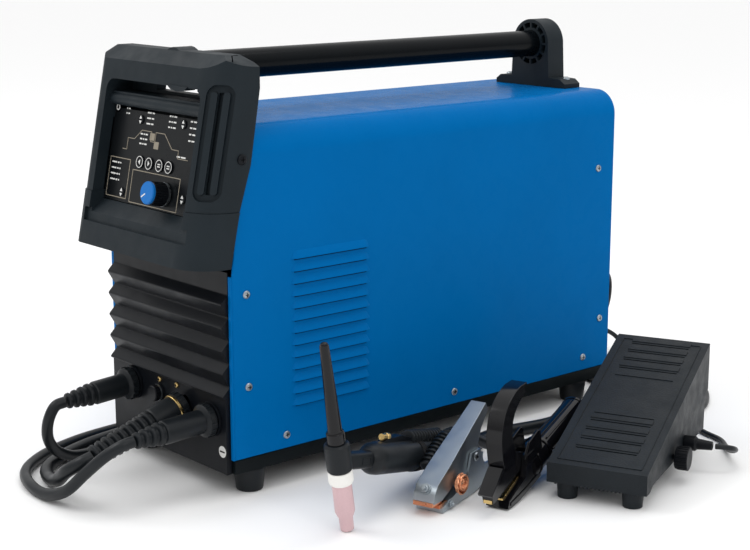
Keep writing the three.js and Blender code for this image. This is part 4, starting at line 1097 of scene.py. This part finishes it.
def make_holder():
    contact = crosswise([(3, 8.6), (40, 21.0), (40, 22.8), (3, 10.6)], -5, 5)
    extra = [(eased(contact, 0.3), BRASS)]
    for side in (1, -1):
        guard = crosswise([(42, 40), (86, 37), (80, 60), (74, 63), (52, 56)], side * 8.2, side * 11.2)
        extra.append((eased(guard, 0.7), GLOSS_BLACK))
        rail = crosswise([(6, 3.6), (44, 8), (80, 16), (80, 19.5), (44, 11.5), (6, 6.6)],
                         side * 11.4, side * 13.0)
        extra.append((eased(rail, 0.4), GLOSS_BLACK))
    barrel = placed(0, 2, 13, turn_x=0.19 - math.pi / 2)
    for angle in (60, 90, 120, 180, 0, 240, 300):
        fin = eased(block((3.0, 2.2, 84), (12.9, 0, 150)), 0.7)
        extra.append((turned(fin, barrel @ Matrix.Rotation(math.radians(angle - 180), 4, "Z")), GLOSS_BLACK))
    rings = [[(12, z), (16.9, z), (17.2, z + 1), (16.9, z + 3), (12, z + 3), (12, z)] for z in (72, 96)]
    rings.append([(9, 196), (14.6, 196), (14.6, 199), (9, 199), (9, 196)])
    extra += [(turned(lathe(ring, 32), barrel), GLOSS_BLACK) for ring in rings]
    refined("holder_body", GLOSS_BLACK, 0.8, extra=extra, where=HOLDER)
    curve = [(48.5, 117.5)] + arc((46, 119), (-26, 112), (0, 44), 20)[2:]
    flange = eased(strap(curve, 8.6, -2.6), 0.6, angle=50)
    tip = crosswise([(-22, 12.6), (20, 22.6), (20, 24.4), (-22, 16.4)], -4.6, 4.6)
    jaw = strap([(-26, 20.6), (-2, 42.6)], 8.0, 4.0)
    extra = [(flange, GLOSS_BLACK), (eased(tip, 0.3), BRASS), (eased(jaw, 0.8), GLOSS_BLACK)]
    refined("holder_lever", GLOSS_BLACK, 1.0, 3, extra=extra, where=HOLDER)


TREADLE_RUN, TREADLE_RISE, TREADLE_FOOT, TREADLE_WIDTH = 240, 77, 38, 104
TREADLE = PEDAL @ placed(0, 0, TREADLE_FOOT, turn_x=math.atan(TREADLE_RISE / TREADLE_RUN))
TREADLE_LENGTH = math.hypot(TREADLE_RUN, TREADLE_RISE)


def make_pedal():
    toe = [(eased(block((2.2, 2.4, 5.0), (8 + 4.2 * i, 4.6, 17.0)), 0.6), PEDAL_BLACK) for i in range(21)]
    refined("pedal_base", PEDAL_BLACK, 0.8, extra=toe, where=PEDAL)
    inset, wide, long = 8.5, TREADLE_WIDTH, TREADLE_LENGTH
    across, down = (wide - 2 * inset, 1.3), (1.3, long - 2 * inset)
    lines = [(across, wide / 2, inset), (across, wide / 2, long - inset), (down, inset, long / 2),
             (down, wide - inset, long / 2), ((64, 1.2), wide / 2, 96), ((64, 1.2), wide / 2, 170)]
    extra = [(eased(block((w, d, 1.4), (x, y, 0.1)), 0.3), PEDAL_BLACK) for (w, d), x, y in lines]
    step = long / TREADLE_RUN
    for y in (30, 46, 62, 78, 176, 192, 208, 224):
        pad = eased(block((66, 8.0, 1.6), (wide / 2, (y + 7.2) * step, 0.1)), 0.6)
        extra.append((pad, PEDAL_BLACK))
    refined("pedal_treadle", PEDAL_BLACK, 0.9, extra=extra, where=TREADLE)
    side = placed(105, 107, 25) @ Matrix.Rotation(math.pi / 2, 4, "Y")
    ribs = [(turned(bm, side), made) for bm, made in
            around(22, lambda: eased(block((1.4, 1.7, 11), (11.9, 0, 8)), 0.4), MOULDED)]
    refined("pedal_knob", MOULDED, 0.8, extra=ribs, where=PEDAL)
    refined("pedal_gland", MOULDED, 0.5)


# Each boot's route, bore, widest radius and length.
BOOT_SIZES = {
    "earth_boot": (EARTH_ROUTE, LEAD / 2, 8.6, 62),
    "torch_boot": (TORCH_ROUTE_OUT, TORCH_LEAD / 2, 9.6, 66),
    "electrode_boot": (ELECTRODE_ROUTE_OUT, LEAD / 2, 8.4, 40),
}


def make_boots():
    """Ribbed sleeves where the leads enter the clamp, the torch and the holder."""
    for name, (route, bore, wide, span) in BOOT_SIZES.items():
        line = smoothed(route)
        kept = [line[-1]]
        for point in reversed(line[:-1]):
            kept.append(point)
            if (kept[0] - point).length > span:
                break
        piece(name, [(ribbed(kept, bore + 0.25, wide), RUBBER)], sharp=50)


make_camera()
make_plugs()
make_boots()
make_leads()
make_lights()
make_floor()
make_cover()
make_cover_screws()
make_front()
make_panel()
make_handle()
make_rear()
make_torch()
make_clamp()
make_holder()
make_pedal()
